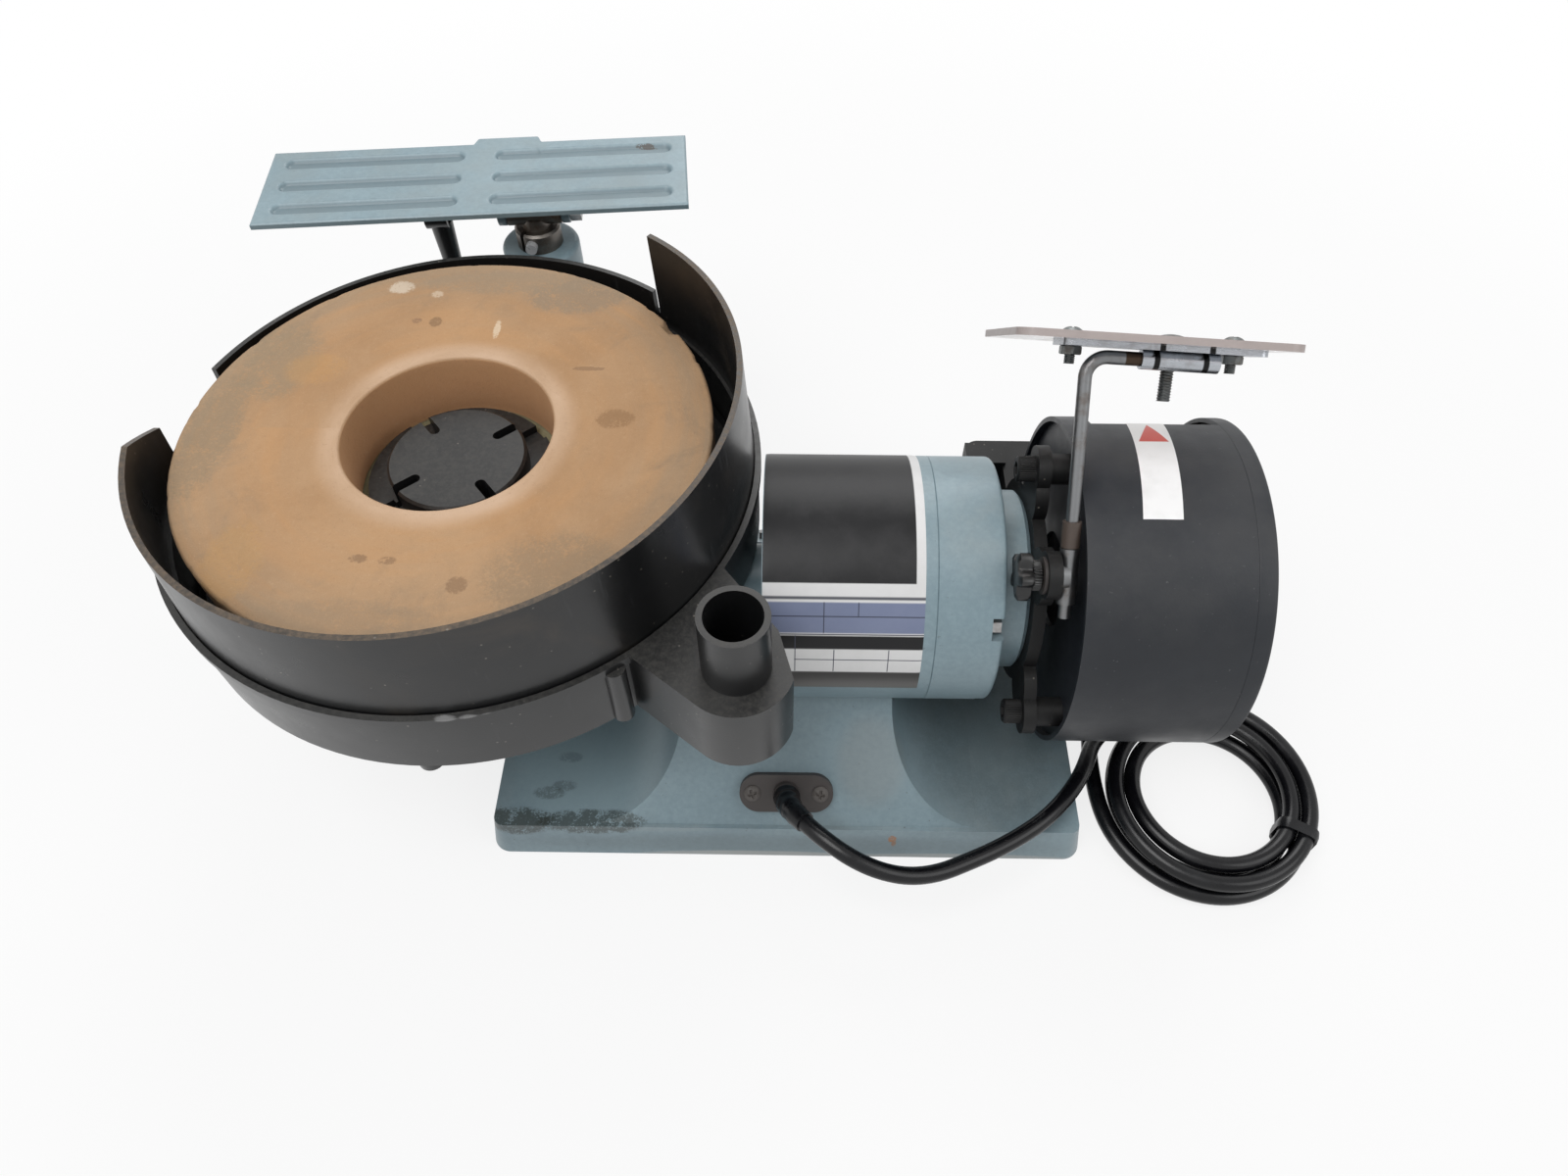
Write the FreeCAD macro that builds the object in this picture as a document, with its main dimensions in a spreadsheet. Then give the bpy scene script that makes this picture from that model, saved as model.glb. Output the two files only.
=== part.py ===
import FreeCAD, Part
import math
import os

import Sketcher
from FreeCAD import Placement, Rotation, Vector

# Combined wet and dry sharpener. X runs along the motor axis, from the wet wheel on the left to the
# dry wheel on the right. +Y points to the operator, Z is up, and the origin lies under the middle of
# the base, on the bench. All sizes are in millimetres and degrees.
SIZES = {
    # base casting
    "base_length": 259.5,
    "base_width": 173.0,
    "base_corner": 8.0,
    "plinth_height": 20.0,
    "plinth_draft": 10.2,
    "casting_wall": 6.0,
    "pedestal_half": 44.0,
    "pedestal_top": 66.0,
    "scoop_run": 38.0,
    "scoop_rise": 40.0,
    "slope_foot": 81.0,
    "slope_head": 37.0,
    "plate_thick": 2.0,
    "foot_screw_r": 1.9,
    "foot_head_r": 3.3,
    "foot_screw_x": 100.0,
    "foot_screw_y": 58.0,
    # motor
    "motor_z": 90.6,
    "motor_r": 50.7,
    "shell_wall": 2.5,
    "shell_left": -4.0,
    "shell_right": 56.0,
    "bell_right": 82.0,
    "bell_boss_r": 37.0,
    "bell_boss_right": 94.0,
    "stator_left": 12.0,
    "stator_right": 44.0,
    "stator_depth": 18.2,
    "air_gap": 0.5,
    "winding_length": 9.0,
    "shaft_r": 7.5,
    "bearing_r": 17.5,
    "bearing_width": 11.0,
    "stub_r": 4.0,
    "stub_bearing_r": 11.0,
    "journal_bearing_r": 13.0,
    "small_bearing_width": 7.0,
    "motor_bolt_r": 2.3,
    "fan_r": 34.0,
    "capacitor_r": 13.0,
    "capacitor_length": 58.0,
    # worm drive between motor and spindle
    "worm_pitch_r": 5.6,
    "wheel_y": 17.0,
    "worm_starts": 2,
    "gear_teeth": 17,
    "gear_width": 12.0,
    "snout_r": 13.4,
    "snout_reach": 35.5,
    "gearbox_r": 27.0,
    "gearbox_bottom": 71.0,
    "flange_thick": 6.0,
    "cap_thick": 4.0,
    "arm_half": 15.0,
    "arm_end": 9.0,
    # wet wheel and spindle
    "stone_r": 101.6,
    "stone_thick": 40.0,
    "stone_top": 158.0,
    "recess_r": 40.0,
    "recess_depth": 29.0,
    "spindle_r": 8.85,
    "journal_r": 6.0,
    "wheel_flange_r": 34.0,
    "wheel_flange_thick": 4.5,
    "cap_flange_r": 36.5,
    "cap_flange_thick": 5.0,
    "cap_disc_r": 27.0,
    "cap_height": 14.0,
    "cap_turn": 40.0,
    # water tray, splash ring and back band
    "tray_offset": 2.5,
    "tray_clear": 1.3,
    "tray_z": 105.0,
    "tray_taper": 1.2,
    "tray_rim_z": 140.5,
    "tray_wall": 2.5,
    "rim_height": 4.0,
    "rim_width": 2.3,
    "rim_lip": 1.0,
    "tray_corner": 1.5,
    "rib_r": 4.0,
    "rib_angle": 13.5,
    "ring_seat_depth": 3.0,
    "ring_seat_gap": 0.3,
    "ring_gap": 5.0,
    "ring_flare": 2.8,
    "ring_wall": 2.2,
    "ring_top_z": 180.5,
    "ring_slope": 3.2,
    "ring_right_angle": 51.0,
    "ring_left_angle": 178.5,
    "ring_corner_run": 27.0,
    "ring_corner_drop": 16.0,
    "band_top_z": 154.0,
    "band_start": 52.5,
    "band_sweep": 108.5,
    "tube_out": 28.23,
    "tube_angle": -40.07,
    "tube_r": 12.2,
    "tube_bore": 10.0,
    "tube_top": 170.0,
    "ear_r": 20.3,
    "ear_root": 8.0,
    "ear_near": 11.5,
    "ear_far": 16.0,
    "duct_half": 7.0,
    "duct_height": 10.0,
    "nub_r": 5.0,
    "nub_tip_r": 3.0,
    "nub_inset": 5.8,
    "collar_wall": 2.5,
    "collar_height": 4.0,
    # wet tool rest
    "rest_shift": 11.5,
    "rest_gap": 5.3,
    "rest_turn": 5.5,
    "boss_r": 18.0,
    "boss_top": 142.0,
    "post_r": 10.5,
    "post_top": 151.5,
    "post_length": 56.0,
    "stem_r": 7.0,
    "stem_length": 34.0,
    "pivot_z": 159.0,
    "barrel_r": 6.5,
    "barrel_length": 24.0,
    "pivot_bolt_r": 3.0,
    "rest_length": 191.0,
    "rest_depth": 56.0,
    "rest_thick": 3.0,
    "rest_top": 170.0,
    "rest_shift_u": -24.4,
    "rest_shift_v": 10.2,
    "groove_length": 80.0,
    "groove_width": 6.0,
    "groove_pitch": 17.5,
    "tab_shift": 12.0,
    "tab_half": 14.5,
    "tab_depth": 5.0,
    "lug_thick": 4.0,
    "lever_u": -43.0,
    "lever_length": 33.0,
    # dry wheel, guard and rest
    "spider_thick": 5.0,
    "spider_hub_r": 42.0,
    "spider_screw_r": 56.5,
    "spider_lobe_r": 9.0,
    "spider_web_r": 12.0,
    "guard_left": 106.8,
    "guard_seam": 168.0,
    "guard_right": 175.3,
    "guard_r": 67.4,
    "guard_wall": 2.0,
    "guard_recess": 3.2,
    "window_low": -20.0,
    "window_high": 62.0,
    "dry_wheel_r": 63.5,
    "dry_wheel_left": 122.0,
    "dry_wheel_thick": 38.0,
    "arbor_r": 6.35,
    "arbor_flange_r": 24.0,
    "arbor_flange_thick": 5.0,
    "nut_across": 19.0,
    "nut_thick": 7.0,
    "dry_rest_z": 84.0,
    "dry_rest_thick": 5.0,
    "dry_rest_gap": 3.0,
    "dry_rest_near": 42.5,
    "dry_rest_depth": 20.0,
    "dry_rest_travel": 11.0,
    "dry_bolt_r": 2.8,
    "rest_block_near": 54.0,
    "rest_block_depth": 12.0,
    "rest_block_top": 103.5,
    "rest_block_length": 16.0,
    # eye shield
    "rod_r": 2.4,
    "rod_x": 102.6,
    "rod_lean": 37.5,
    "rod_bend": 3.0,
    "rod_length": 95.0,
    "rod_corner": 7.0,
    "rod_arm": 44.0,
    "shield_y": 15.1,
    "shield_z": 198.9,
    "shield_length": 94.0,
    "shield_depth": 66.0,
    "shield_thick": 2.5,
    "shield_left": -30.0,
    "shield_near": -27.7,
    "shield_tilt": 3.4,
    "strip_left": -10.0,
    "strip_length": 70.0,
    "strip_near": -8.0,
    "strip_depth": 20.0,
    "strip_thick": 1.8,
    "hinge_left": 18.5,
    "hinge_length": 27.0,
    "hinge_groove": 5.0,
    "shield_screw_left": -4.0,
    "shield_screw_middle": 31.0,
    "shield_screw_right": 53.0,
    "shield_screw_v": 7.6,
    "hinge_screw_drop": 14.0,
    "sleeve_r": 3.5,
    "sleeve_length": 21.0,
    "sleeve_drop": 79.0,
    "collar_length": 9.7,
    "knob_r": 8.0,
    "knob_reach": 11.0,
    # switch, cord plate and cord
    "switch_width": 30.0,
    "switch_depth": 22.0,
    "switch_up": 28.0,
    "rocker_tilt": 7.0,
    "cord_plate_length": 40.0,
    "cord_plate_width": 16.5,
    "cord_plate_thick": 3.5,
    "cord_plate_up": 15.5,
    "cord_r": 3.6,
    "coil_r": 47.5,
    "coil_x": 187.5,
    "coil_y": -59.0,
    "coil_pitch": 7.9,
    "coil_turns": 4,
    "coil_start": 124.0,
    "coil_lead": 24.0,
    "tie_thick": 1.2,
    "tie_width": 5.0,
    "plug_x": 153.0,
    "plug_y": 44.0,
    "plug_z": 8.5,
    "plug_length": 36.0,
    "plug_width": 22.0,
    "plug_height": 16.0,
    "plug_hole": 8.0,
    "blade_length": 17.0,
    "blade_spot": 6.35,
    "pin_length": 20.0,
    # fits
    "seat_gap": 0.1,
    "run_gap": 0.05,
    "free_gap": 0.4,
}

doc = FreeCAD.newDocument("sharpener")
sheet = doc.addObject("Spreadsheet::Sheet", "dim")
for row, (alias, number) in enumerate(SIZES.items(), start=1):
    sheet.set(f"A{row}", alias)
    sheet.set(f"B{row}", str(number))
    sheet.setAlias(f"B{row}", alias)
doc.recompute()


class Size:
    """A length, angle or count as a sheet expression, with the number that it stands for."""

    def __init__(self, text, value):
        self.text = text
        self.value = float(value)

    def __add__(self, other):
        other = as_size(other)
        return Size(f"({self.text} + {other.text})", self.value + other.value)

    def __sub__(self, other):
        other = as_size(other)
        return Size(f"({self.text} - {other.text})", self.value - other.value)

    def __mul__(self, other):
        other = as_size(other)
        return Size(f"({self.text} * {other.text})", self.value * other.value)

    def __truediv__(self, other):
        other = as_size(other)
        return Size(f"({self.text} / {other.text})", self.value / other.value)

    def __radd__(self, other):
        return as_size(other) + self

    def __rsub__(self, other):
        return as_size(other) - self

    def __rmul__(self, other):
        return as_size(other) * self

    def __neg__(self):
        return Size(f"(-1 * {self.text})", -self.value)


def as_size(amount):
    """The amount as a Size; plain numbers become constants."""
    if isinstance(amount, Size):
        return amount
    return Size(f"({float(amount)!r})", amount)


def cosine(angle):
    angle = as_size(angle)
    return Size(f"cos({angle.text})", math.cos(math.radians(angle.value)))


def sine(angle):
    angle = as_size(angle)
    return Size(f"sin({angle.text})", math.sin(math.radians(angle.value)))


class Table:
    """The sheet's sizes as attributes."""


S = Table()
for alias in SIZES:
    setattr(S, alias, Size(f"dim.{alias}", sheet.get(alias)))

# Places that several pieces share, worked out from the sheet.
FLANGE_LEFT = S.shell_left - S.flange_thick
STATOR_BORE = S.motor_r - S.shell_wall - S.stator_depth
STONE_BOTTOM = S.stone_top - S.stone_thick
RECESS_FLOOR = S.stone_top - S.recess_depth
RING_TOP_R = S.stone_r + S.tray_offset + S.ring_gap + S.ring_wall
RING_FOOT_R = RING_TOP_R + S.ring_flare
RING_SEAT_R = RING_FOOT_R + S.ring_seat_gap
TRAY_RIM_R = RING_SEAT_R + S.rim_width
TRAY_FLOOR_R = TRAY_RIM_R - S.tray_taper
TRAY_X = FLANGE_LEFT - S.tray_clear - TRAY_RIM_R
WHEEL_X = TRAY_X - S.tray_offset
SNOUT_LEFT = WHEEL_X - S.snout_reach
REST_X = WHEEL_X + S.rest_shift
REST_Y = S.wheel_y + TRAY_RIM_R + S.rest_gap + S.boss_r
TRAY_FLOOR = S.tray_z + S.tray_wall
RING_SEAT_Z = S.tray_rim_z - S.ring_seat_depth
WHEEL_FLANGE_BOTTOM = STONE_BOTTOM - S.wheel_flange_thick
TOWER_TOP = WHEEL_FLANGE_BOTTOM - 1.5
SPINDLE_SEAT_R = S.spindle_r + 5.5
TOWER_R = SPINDLE_SEAT_R + 2.5
GEAR_PITCH_R = S.wheel_y - S.worm_pitch_r
GUARD_WALL_X = S.guard_left + S.guard_recess
WINDOW_LEFT = GUARD_WALL_X + S.guard_wall + 6
SPIDER_RIGHT = S.bell_boss_right + S.spider_thick
MOTOR_AXIS = (0, 0, S.motor_z)
WHEEL_AXIS = (WHEEL_X, S.wheel_y, 0)
ROD_TURN = Rotation(Vector(1, 0, 0), -S.rod_lean.value)
ARM_TURN = ROD_TURN.multiply(Rotation(Vector(0, 1, 0), S.rod_bend.value))
SHIELD_TURN = ARM_TURN.multiply(Rotation(Vector(1, 0, 0), -S.shield_tilt.value))
REST_TURN = Rotation(Vector(0, 0, 1), S.rest_turn.value)
SLOPE_ANGLE = math.degrees(math.atan2(S.pedestal_top.value - S.plinth_height.value,
                                      S.slope_foot.value - S.slope_head.value))

NODES = []


def bind(target, prop, amount):
    """Ties a property to its sheet expression."""
    target.setExpression(prop, as_size(amount).text)


def place(target, at, turn=None):
    """Sets a sub-part's place, with each coordinate tied to the sheet."""
    x, y, z = (as_size(part) for part in at)
    target.Placement = Placement(Vector(x.value, y.value, z.value), turn or Rotation())
    bind(target, "Placement.Base.x", x)
    bind(target, "Placement.Base.y", y)
    bind(target, "Placement.Base.z", z)


def new_body(label, at=(0, 0, 0), turn=None, node=True):
    """A named sub-part built from sketches, or with node False a blank for one."""
    body = doc.addObject("PartDesign::Body", label)
    body.Label = label
    place(body, at, turn)
    if node:
        NODES.append(body)
    return body


def circle(u, v, radius):
    """A loop for a sketch: a circle held by its centre and radius."""

    def draw(sketch):
        cu, cv, r = as_size(u), as_size(v), as_size(radius)
        geo = sketch.addGeometry(Part.Circle(Vector(cu.value, cv.value, 0), Vector(0, 0, 1), r.value))
        hold(sketch, "DistanceX", (-1, 1, geo, 3), cu)
        hold(sketch, "DistanceY", (-1, 1, geo, 3), cv)
        hold(sketch, "Radius", (geo,), r)

    return draw


def hold(sketch, kind, where, amount):
    """Adds a dimension to a sketch and ties it to the sheet."""
    number = sketch.addConstraint(Sketcher.Constraint(kind, *where, amount.value))
    sketch.setExpression(f"Constraints[{number}]", amount.text)


def chain(points, closed=True):
    """A loop of lines and arcs. Each point is (u, v), or (u, v, r) where the stretch to the next point is
    an arc of radius r: above zero it turns left, below zero right."""

    def draw(sketch):
        corners = [(as_size(p[0]), as_size(p[1])) for p in points]
        bends = [as_size(p[2]) if len(p) > 2 else None for p in points]
        count = len(points) if closed else len(points) - 1
        ends = []
        for i in range(count):
            a = Vector(corners[i][0].value, corners[i][1].value, 0)
            b_corner = corners[(i + 1) % len(points)]
            b = Vector(b_corner[0].value, b_corner[1].value, 0)
            if bends[i] is None:
                geo = sketch.addGeometry(Part.LineSegment(a, b))
                ends.append((geo, 1, 2))
            else:
                ends.append(add_arc(sketch, a, b, bends[i]))
        for i in range(count):
            geo, first, last = ends[i]
            hold(sketch, "DistanceX", (-1, 1, geo, first), corners[i][0])
            hold(sketch, "DistanceY", (-1, 1, geo, first), corners[i][1])
            if closed or i + 1 < count:
                following = ends[(i + 1) % count]
                sketch.addConstraint(Sketcher.Constraint("Coincident", geo, last, following[0], following[1]))
            else:
                hold(sketch, "DistanceX", (-1, 1, geo, last), corners[i + 1][0])
                hold(sketch, "DistanceY", (-1, 1, geo, last), corners[i + 1][1])

    return draw


def add_arc(sketch, a, b, bend):
    """One arc of a chain from a to b, with its radius tied to the sheet."""
    radius = abs(bend.value)
    chord = b - a
    middle = (a + b) * 0.5
    side = Vector(-chord.y, chord.x, 0).normalize()
    rise = math.sqrt(max(radius ** 2 - (chord.Length / 2) ** 2, 0))
    centre = middle + side * (rise if bend.value > 0 else -rise)
    start, stop = (a, b) if bend.value > 0 else (b, a)
    first = math.atan2(start.y - centre.y, start.x - centre.x)
    last = math.atan2(stop.y - centre.y, stop.x - centre.x)
    if last < first:
        last += 2 * math.pi
    geo = sketch.addGeometry(Part.ArcOfCircle(Part.Circle(centre, Vector(0, 0, 1), radius), first, last))
    size = bend if bend.value > 0 else -bend
    hold(sketch, "Radius", (geo,), size)
    return (geo, 1, 2) if bend.value > 0 else (geo, 2, 1)


def rectangle(u0, v0, u1, v1):
    return chain([(u0, v0), (u1, v0), (u1, v1), (u0, v1)])


def round_rectangle(u0, v0, u1, v1, r):
    """A rectangle with round corners."""
    u0, v0, u1, v1, r = (as_size(part) for part in (u0, v0, u1, v1, r))
    return chain([(u0 + r, v0), (u1 - r, v0, r), (u1, v0 + r), (u1, v1 - r, r),
                  (u1 - r, v1), (u0 + r, v1, r), (u0, v1 - r), (u0, v0 + r, r)])


def slot(u0, u1, v, width):
    """A slot with round ends, along u."""
    u0, u1, v, width = (as_size(part) for part in (u0, u1, v, width))
    half = width / 2
    ends = half + 0.001
    return chain([(u0 + half, v - half), (u1 - half, v - half, ends), (u1 - half, v + half),
                  (u0 + half, v + half, ends)])


def hexagon(u, v, across):
    """A hexagon of the given width across its flats."""
    u, v, across = (as_size(part) for part in (u, v, across))
    corner = across / math.sqrt(3)
    return chain([(u + corner * math.cos(math.radians(60 * k)), v + corner * math.sin(math.radians(60 * k)))
                  for k in range(6)])


def add_sketch(body, plane, loops, shift=0, tilt=None):
    """A sketch on one of the body's own planes, moved along the plane's normal by shift."""
    sketch = body.newObject("Sketcher::SketchObject", f"{body.Label}_sketch")
    origin_plane = [part for part in body.Origin.OriginFeatures if part.Role == f"{plane}_Plane"][0]
    sketch.AttachmentSupport = (origin_plane, [""])
    sketch.MapMode = "FlatFace"
    shift = as_size(shift)
    if tilt is None:
        sketch.AttachmentOffset = Placement(Vector(0, 0, shift.value), Rotation())
        bind(sketch, "AttachmentOffset.Base.z", shift)
    else:
        sketch.AttachmentOffset = tilt
    for loop in loops:
        loop(sketch)
    return sketch


def add_feature(body, kind, sketch):
    feature = body.newObject(f"PartDesign::{kind}", f"{body.Label}_{kind}")
    feature.Profile = sketch
    sketch.Visibility = False
    return feature


def pad(body, plane, loops, low, high, tilt=None):
    """Material between two levels along the plane's normal."""
    feature = add_feature(body, "Pad", add_sketch(body, plane, loops, low, tilt))
    bind(feature, "Length", as_size(high) - low)
    return feature


def pocket(body, plane, loops, low, high, tilt=None):
    """A cut between two levels along the plane's normal; it must take material away."""
    feature = add_feature(body, "Pocket", add_sketch(body, plane, loops, low, tilt))
    feature.Reversed = True
    bind(feature, "Length", as_size(high) - low)
    doc.recompute()
    before = feature.BaseFeature.Shape.Volume
    if feature.Shape.isNull() or before - feature.Shape.Volume < 1e-3:
        raise RuntimeError(f"{body.Label}: a pocket cuts nothing")
    return feature


def revolve(body, plane, loops, axis, kind="Revolution", sweep=None, back_sweep=None):
    """Material, or a cut, turned about one of the sketch's axes."""
    sketch = add_sketch(body, plane, loops)
    feature = add_feature(body, kind, sketch)
    feature.ReferenceAxis = (sketch, [axis])
    if sweep is None:
        feature.Angle = 360
    else:
        bind(feature, "Angle", sweep)
    if back_sweep is not None:
        feature.Type = "TwoAngles"
        bind(feature, "Angle2", back_sweep)
    return feature


def turned_x(label, profile, at=MOTOR_AXIS):
    """A piece turned about an axis along X; the profile is a closed list of (x, radius)."""
    body = new_body(label, at)
    revolve(body, "XY", [chain(profile)], "H_Axis")
    return body


def turned_z(label, profile, at=WHEEL_AXIS, turn=None):
    """A piece turned about an axis along Z; the profile is a closed list of (radius, z)."""
    body = new_body(label, at, turn)
    revolve(body, "XZ", [chain(profile)], "V_Axis")
    return body


def ring_x(label, left, right, inner, outer, at=MOTOR_AXIS):
    return turned_x(label, [(left, inner), (right, inner), (right, outer), (left, outer)], at)


def ring_z(label, low, high, inner, outer, at=WHEEL_AXIS):
    return turned_z(label, [(inner, low), (outer, low), (outer, high), (inner, high)], at)


def bearing_profile(left, bore, outer, width):
    """A sealed ball bearing: two races with a shallow seal groove on each side, as (along, radius)."""
    third = (outer - bore) / 3
    dip = 0.8
    right = left + width
    return [(left, bore), (right, bore), (right, bore + third), (right - dip, bore + third),
            (right - dip, outer - third), (right, outer - third), (right, outer), (left, outer),
            (left, outer - third), (left + dip, outer - third), (left + dip, bore + third),
            (left, bore + third)]


def keep_shape(label, shape, at=(0, 0, 0), turn=None):
    """A named sub-part whose shape is worked out here from the sheet's sizes."""
    feature = doc.addObject("Part::Feature", label)
    feature.Label = label
    feature.Shape = shape
    place(feature, at, turn)
    NODES.append(feature)
    return feature


def round_edges(body, radius, chosen):
    """Rounds the edges of the body that the test picks."""
    doc.recompute()
    edges = [f"Edge{i}" for i, edge in enumerate(body.Tip.Shape.Edges, start=1) if chosen(edge)]
    if not edges:
        raise RuntimeError(f"{body.Label}: no edge to round")
    base = body.Tip
    feature = body.newObject("PartDesign::Fillet", f"{body.Label}_Fillet")
    feature.Base = (base, edges)
    bind(feature, "Radius", radius)
    return feature


def polar(radius, angle):
    """A point on a circle as a pair of sizes."""
    radius = as_size(radius)
    return radius * cosine(angle), radius * sine(angle)


def base_casting():
    """Plinth with drafted sides, pedestal with two scooped flanks and sloped faces, hollow below."""
    body = new_body("base_casting")
    half_x, half_y = S.base_length / 2, S.base_width / 2
    plinth = pad(body, "XY", [round_rectangle(-half_x, -half_y, half_x, half_y, S.base_corner)],
                 0, S.plinth_height)
    bind(plinth, "TaperAngle", -S.plinth_draft)
    foot = S.pedestal_half + S.scoop_run
    sunk = S.plinth_height - 3
    shoulder = S.plinth_height + S.scoop_rise
    scoop = S.scoop_rise
    flanks = chain([(-foot, sunk), (foot, sunk), (foot, S.plinth_height, -scoop), (S.pedestal_half, shoulder),
                    (S.pedestal_half, S.pedestal_top), (-S.pedestal_half, S.pedestal_top),
                    (-S.pedestal_half, shoulder, -scoop), (-foot, S.plinth_height)])
    pad(body, "XZ", [flanks], -S.slope_foot, S.slope_foot)
    over = S.pedestal_top + 5
    for side in (-1, 1):
        outside = side * (S.slope_foot + 5)
        slope = chain([(outside, S.plinth_height), (side * S.slope_foot, S.plinth_height),
                       (side * S.slope_head, S.pedestal_top), (side * S.slope_head, over), (outside, over)])
        pocket(body, "YZ", [slope], -foot - 1, foot + 1)
    pocket(body, "YZ", [circle(0, S.motor_z, S.motor_r + S.seat_gap)], -foot, foot)
    wall = S.casting_wall
    inner_x, inner_y = half_x - wall, half_y - wall
    ceiling = S.plinth_height - wall
    pocket(body, "XY", [round_rectangle(-inner_x, -inner_y, inner_x, inner_y, S.base_corner - 4)], 0, ceiling)
    room_x, room_y = S.pedestal_half - wall, S.slope_head + 12
    pocket(body, "XY", [rectangle(-room_x, -room_y, room_x, room_y)], ceiling - 1,
           S.motor_z - S.motor_r - wall)
    spots = foot_screw_spots()
    pad(body, "XY", [circle(x, y, 6) for x, y in spots], S.plate_thick, ceiling + 1)
    holes = [circle(x, y, S.foot_screw_r + S.seat_gap) for x, y in spots]
    pocket(body, "XY", holes, S.plate_thick, ceiling - 1)


def foot_screw_spots():
    """Places of the four screws that hold the bottom plate."""
    return [(sx * S.foot_screw_x, sy * S.foot_screw_y) for sx in (-1, 1) for sy in (-1, 1)]


def bottom_plate():
    """Sheet that closes the base from below."""
    body = new_body("bottom_plate")
    half_x = S.base_length / 2 - S.casting_wall - S.free_gap
    half_y = S.base_width / 2 - S.casting_wall - S.free_gap
    corner = S.base_corner - 5
    pad(body, "XY", [round_rectangle(-half_x, -half_y, half_x, half_y, corner)], 0, S.plate_thick)
    spots = foot_screw_spots()
    pocket(body, "XY", [circle(x, y, S.foot_screw_r + S.seat_gap) for x, y in spots], 0, S.plate_thick + 1)
    pocket(body, "XY", [circle(x, y, S.foot_head_r + S.seat_gap) for x, y in spots], -1, S.plate_thick / 2)


def motor_pieces():
    """Shell, wound stator, end bell with notches for the bolts, and the bolts."""
    inner = S.motor_r - S.shell_wall
    ring_x("motor_shell", S.shell_left, S.shell_right, inner, S.motor_r)
    core = ring_x("stator_core", S.stator_left, S.stator_right, STATOR_BORE, inner - S.run_gap)
    notch_r = S.motor_r - 6
    spots = [polar(notch_r, angle) for angle in (30, 150, 210, 330)]
    channels = [circle(y, z, S.motor_bolt_r + S.free_gap) for y, z in spots]
    pocket(core, "YZ", channels, S.stator_left - 1, S.stator_right + 1)
    body = new_body("stator_windings", MOTOR_AXIS)
    wind_in, wind_out = STATOR_BORE + 1.5, notch_r - S.motor_bolt_r - 1
    middle = (wind_in + wind_out) / 2
    for face, outward in ((S.stator_left, -1), (S.stator_right, 1)):
        end = face + outward * S.winding_length
        mid_z = face + outward * (S.winding_length - 3)
        loop = chain([(face, wind_in), (mid_z, wind_in), (end, middle), (mid_z, wind_out), (face, wind_out)])
        revolve(body, "XY", [loop], "H_Axis")
    bell = new_body("right_end_bell", MOTOR_AXIS)
    left, right, boss = S.shell_right, S.bell_right, S.bell_boss_right
    lip = 4
    wall = 6
    bore = S.bearing_r + S.seat_gap
    seat_left = right - 2
    profile = [(left, S.motor_r - S.shell_wall - 2), (left, S.motor_r), (right - lip, S.motor_r, -lip),
               (right, S.motor_r - lip), (right, S.bell_boss_r), (boss - 2, S.bell_boss_r),
               (boss, S.bell_boss_r - 2), (boss, S.shaft_r + 1), (boss - 2, S.shaft_r + 1),
               (boss - 2, bore), (seat_left - 2, bore), (seat_left - 2, bore + wall),
               (right - wall, bore + wall), (right - wall, S.motor_r - wall)]
    revolve(bell, "XY", [chain(profile)], "H_Axis")
    pocket(bell, "YZ", [circle(y, z, 5) for y, z in spots], right - 5, right + 1)
    pocket(bell, "YZ", [circle(y, z, S.motor_bolt_r + S.seat_gap) for y, z in spots], left - 1, right)
    bolts = new_body("motor_bolts", MOTOR_AXIS)
    pad(bolts, "YZ", [circle(y, z, S.motor_bolt_r) for y, z in spots], S.shell_left + 0.2, right - 5)
    pad(bolts, "YZ", [hexagon(y, z, 7) for y, z in spots], right - 5, right - 1)


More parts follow.
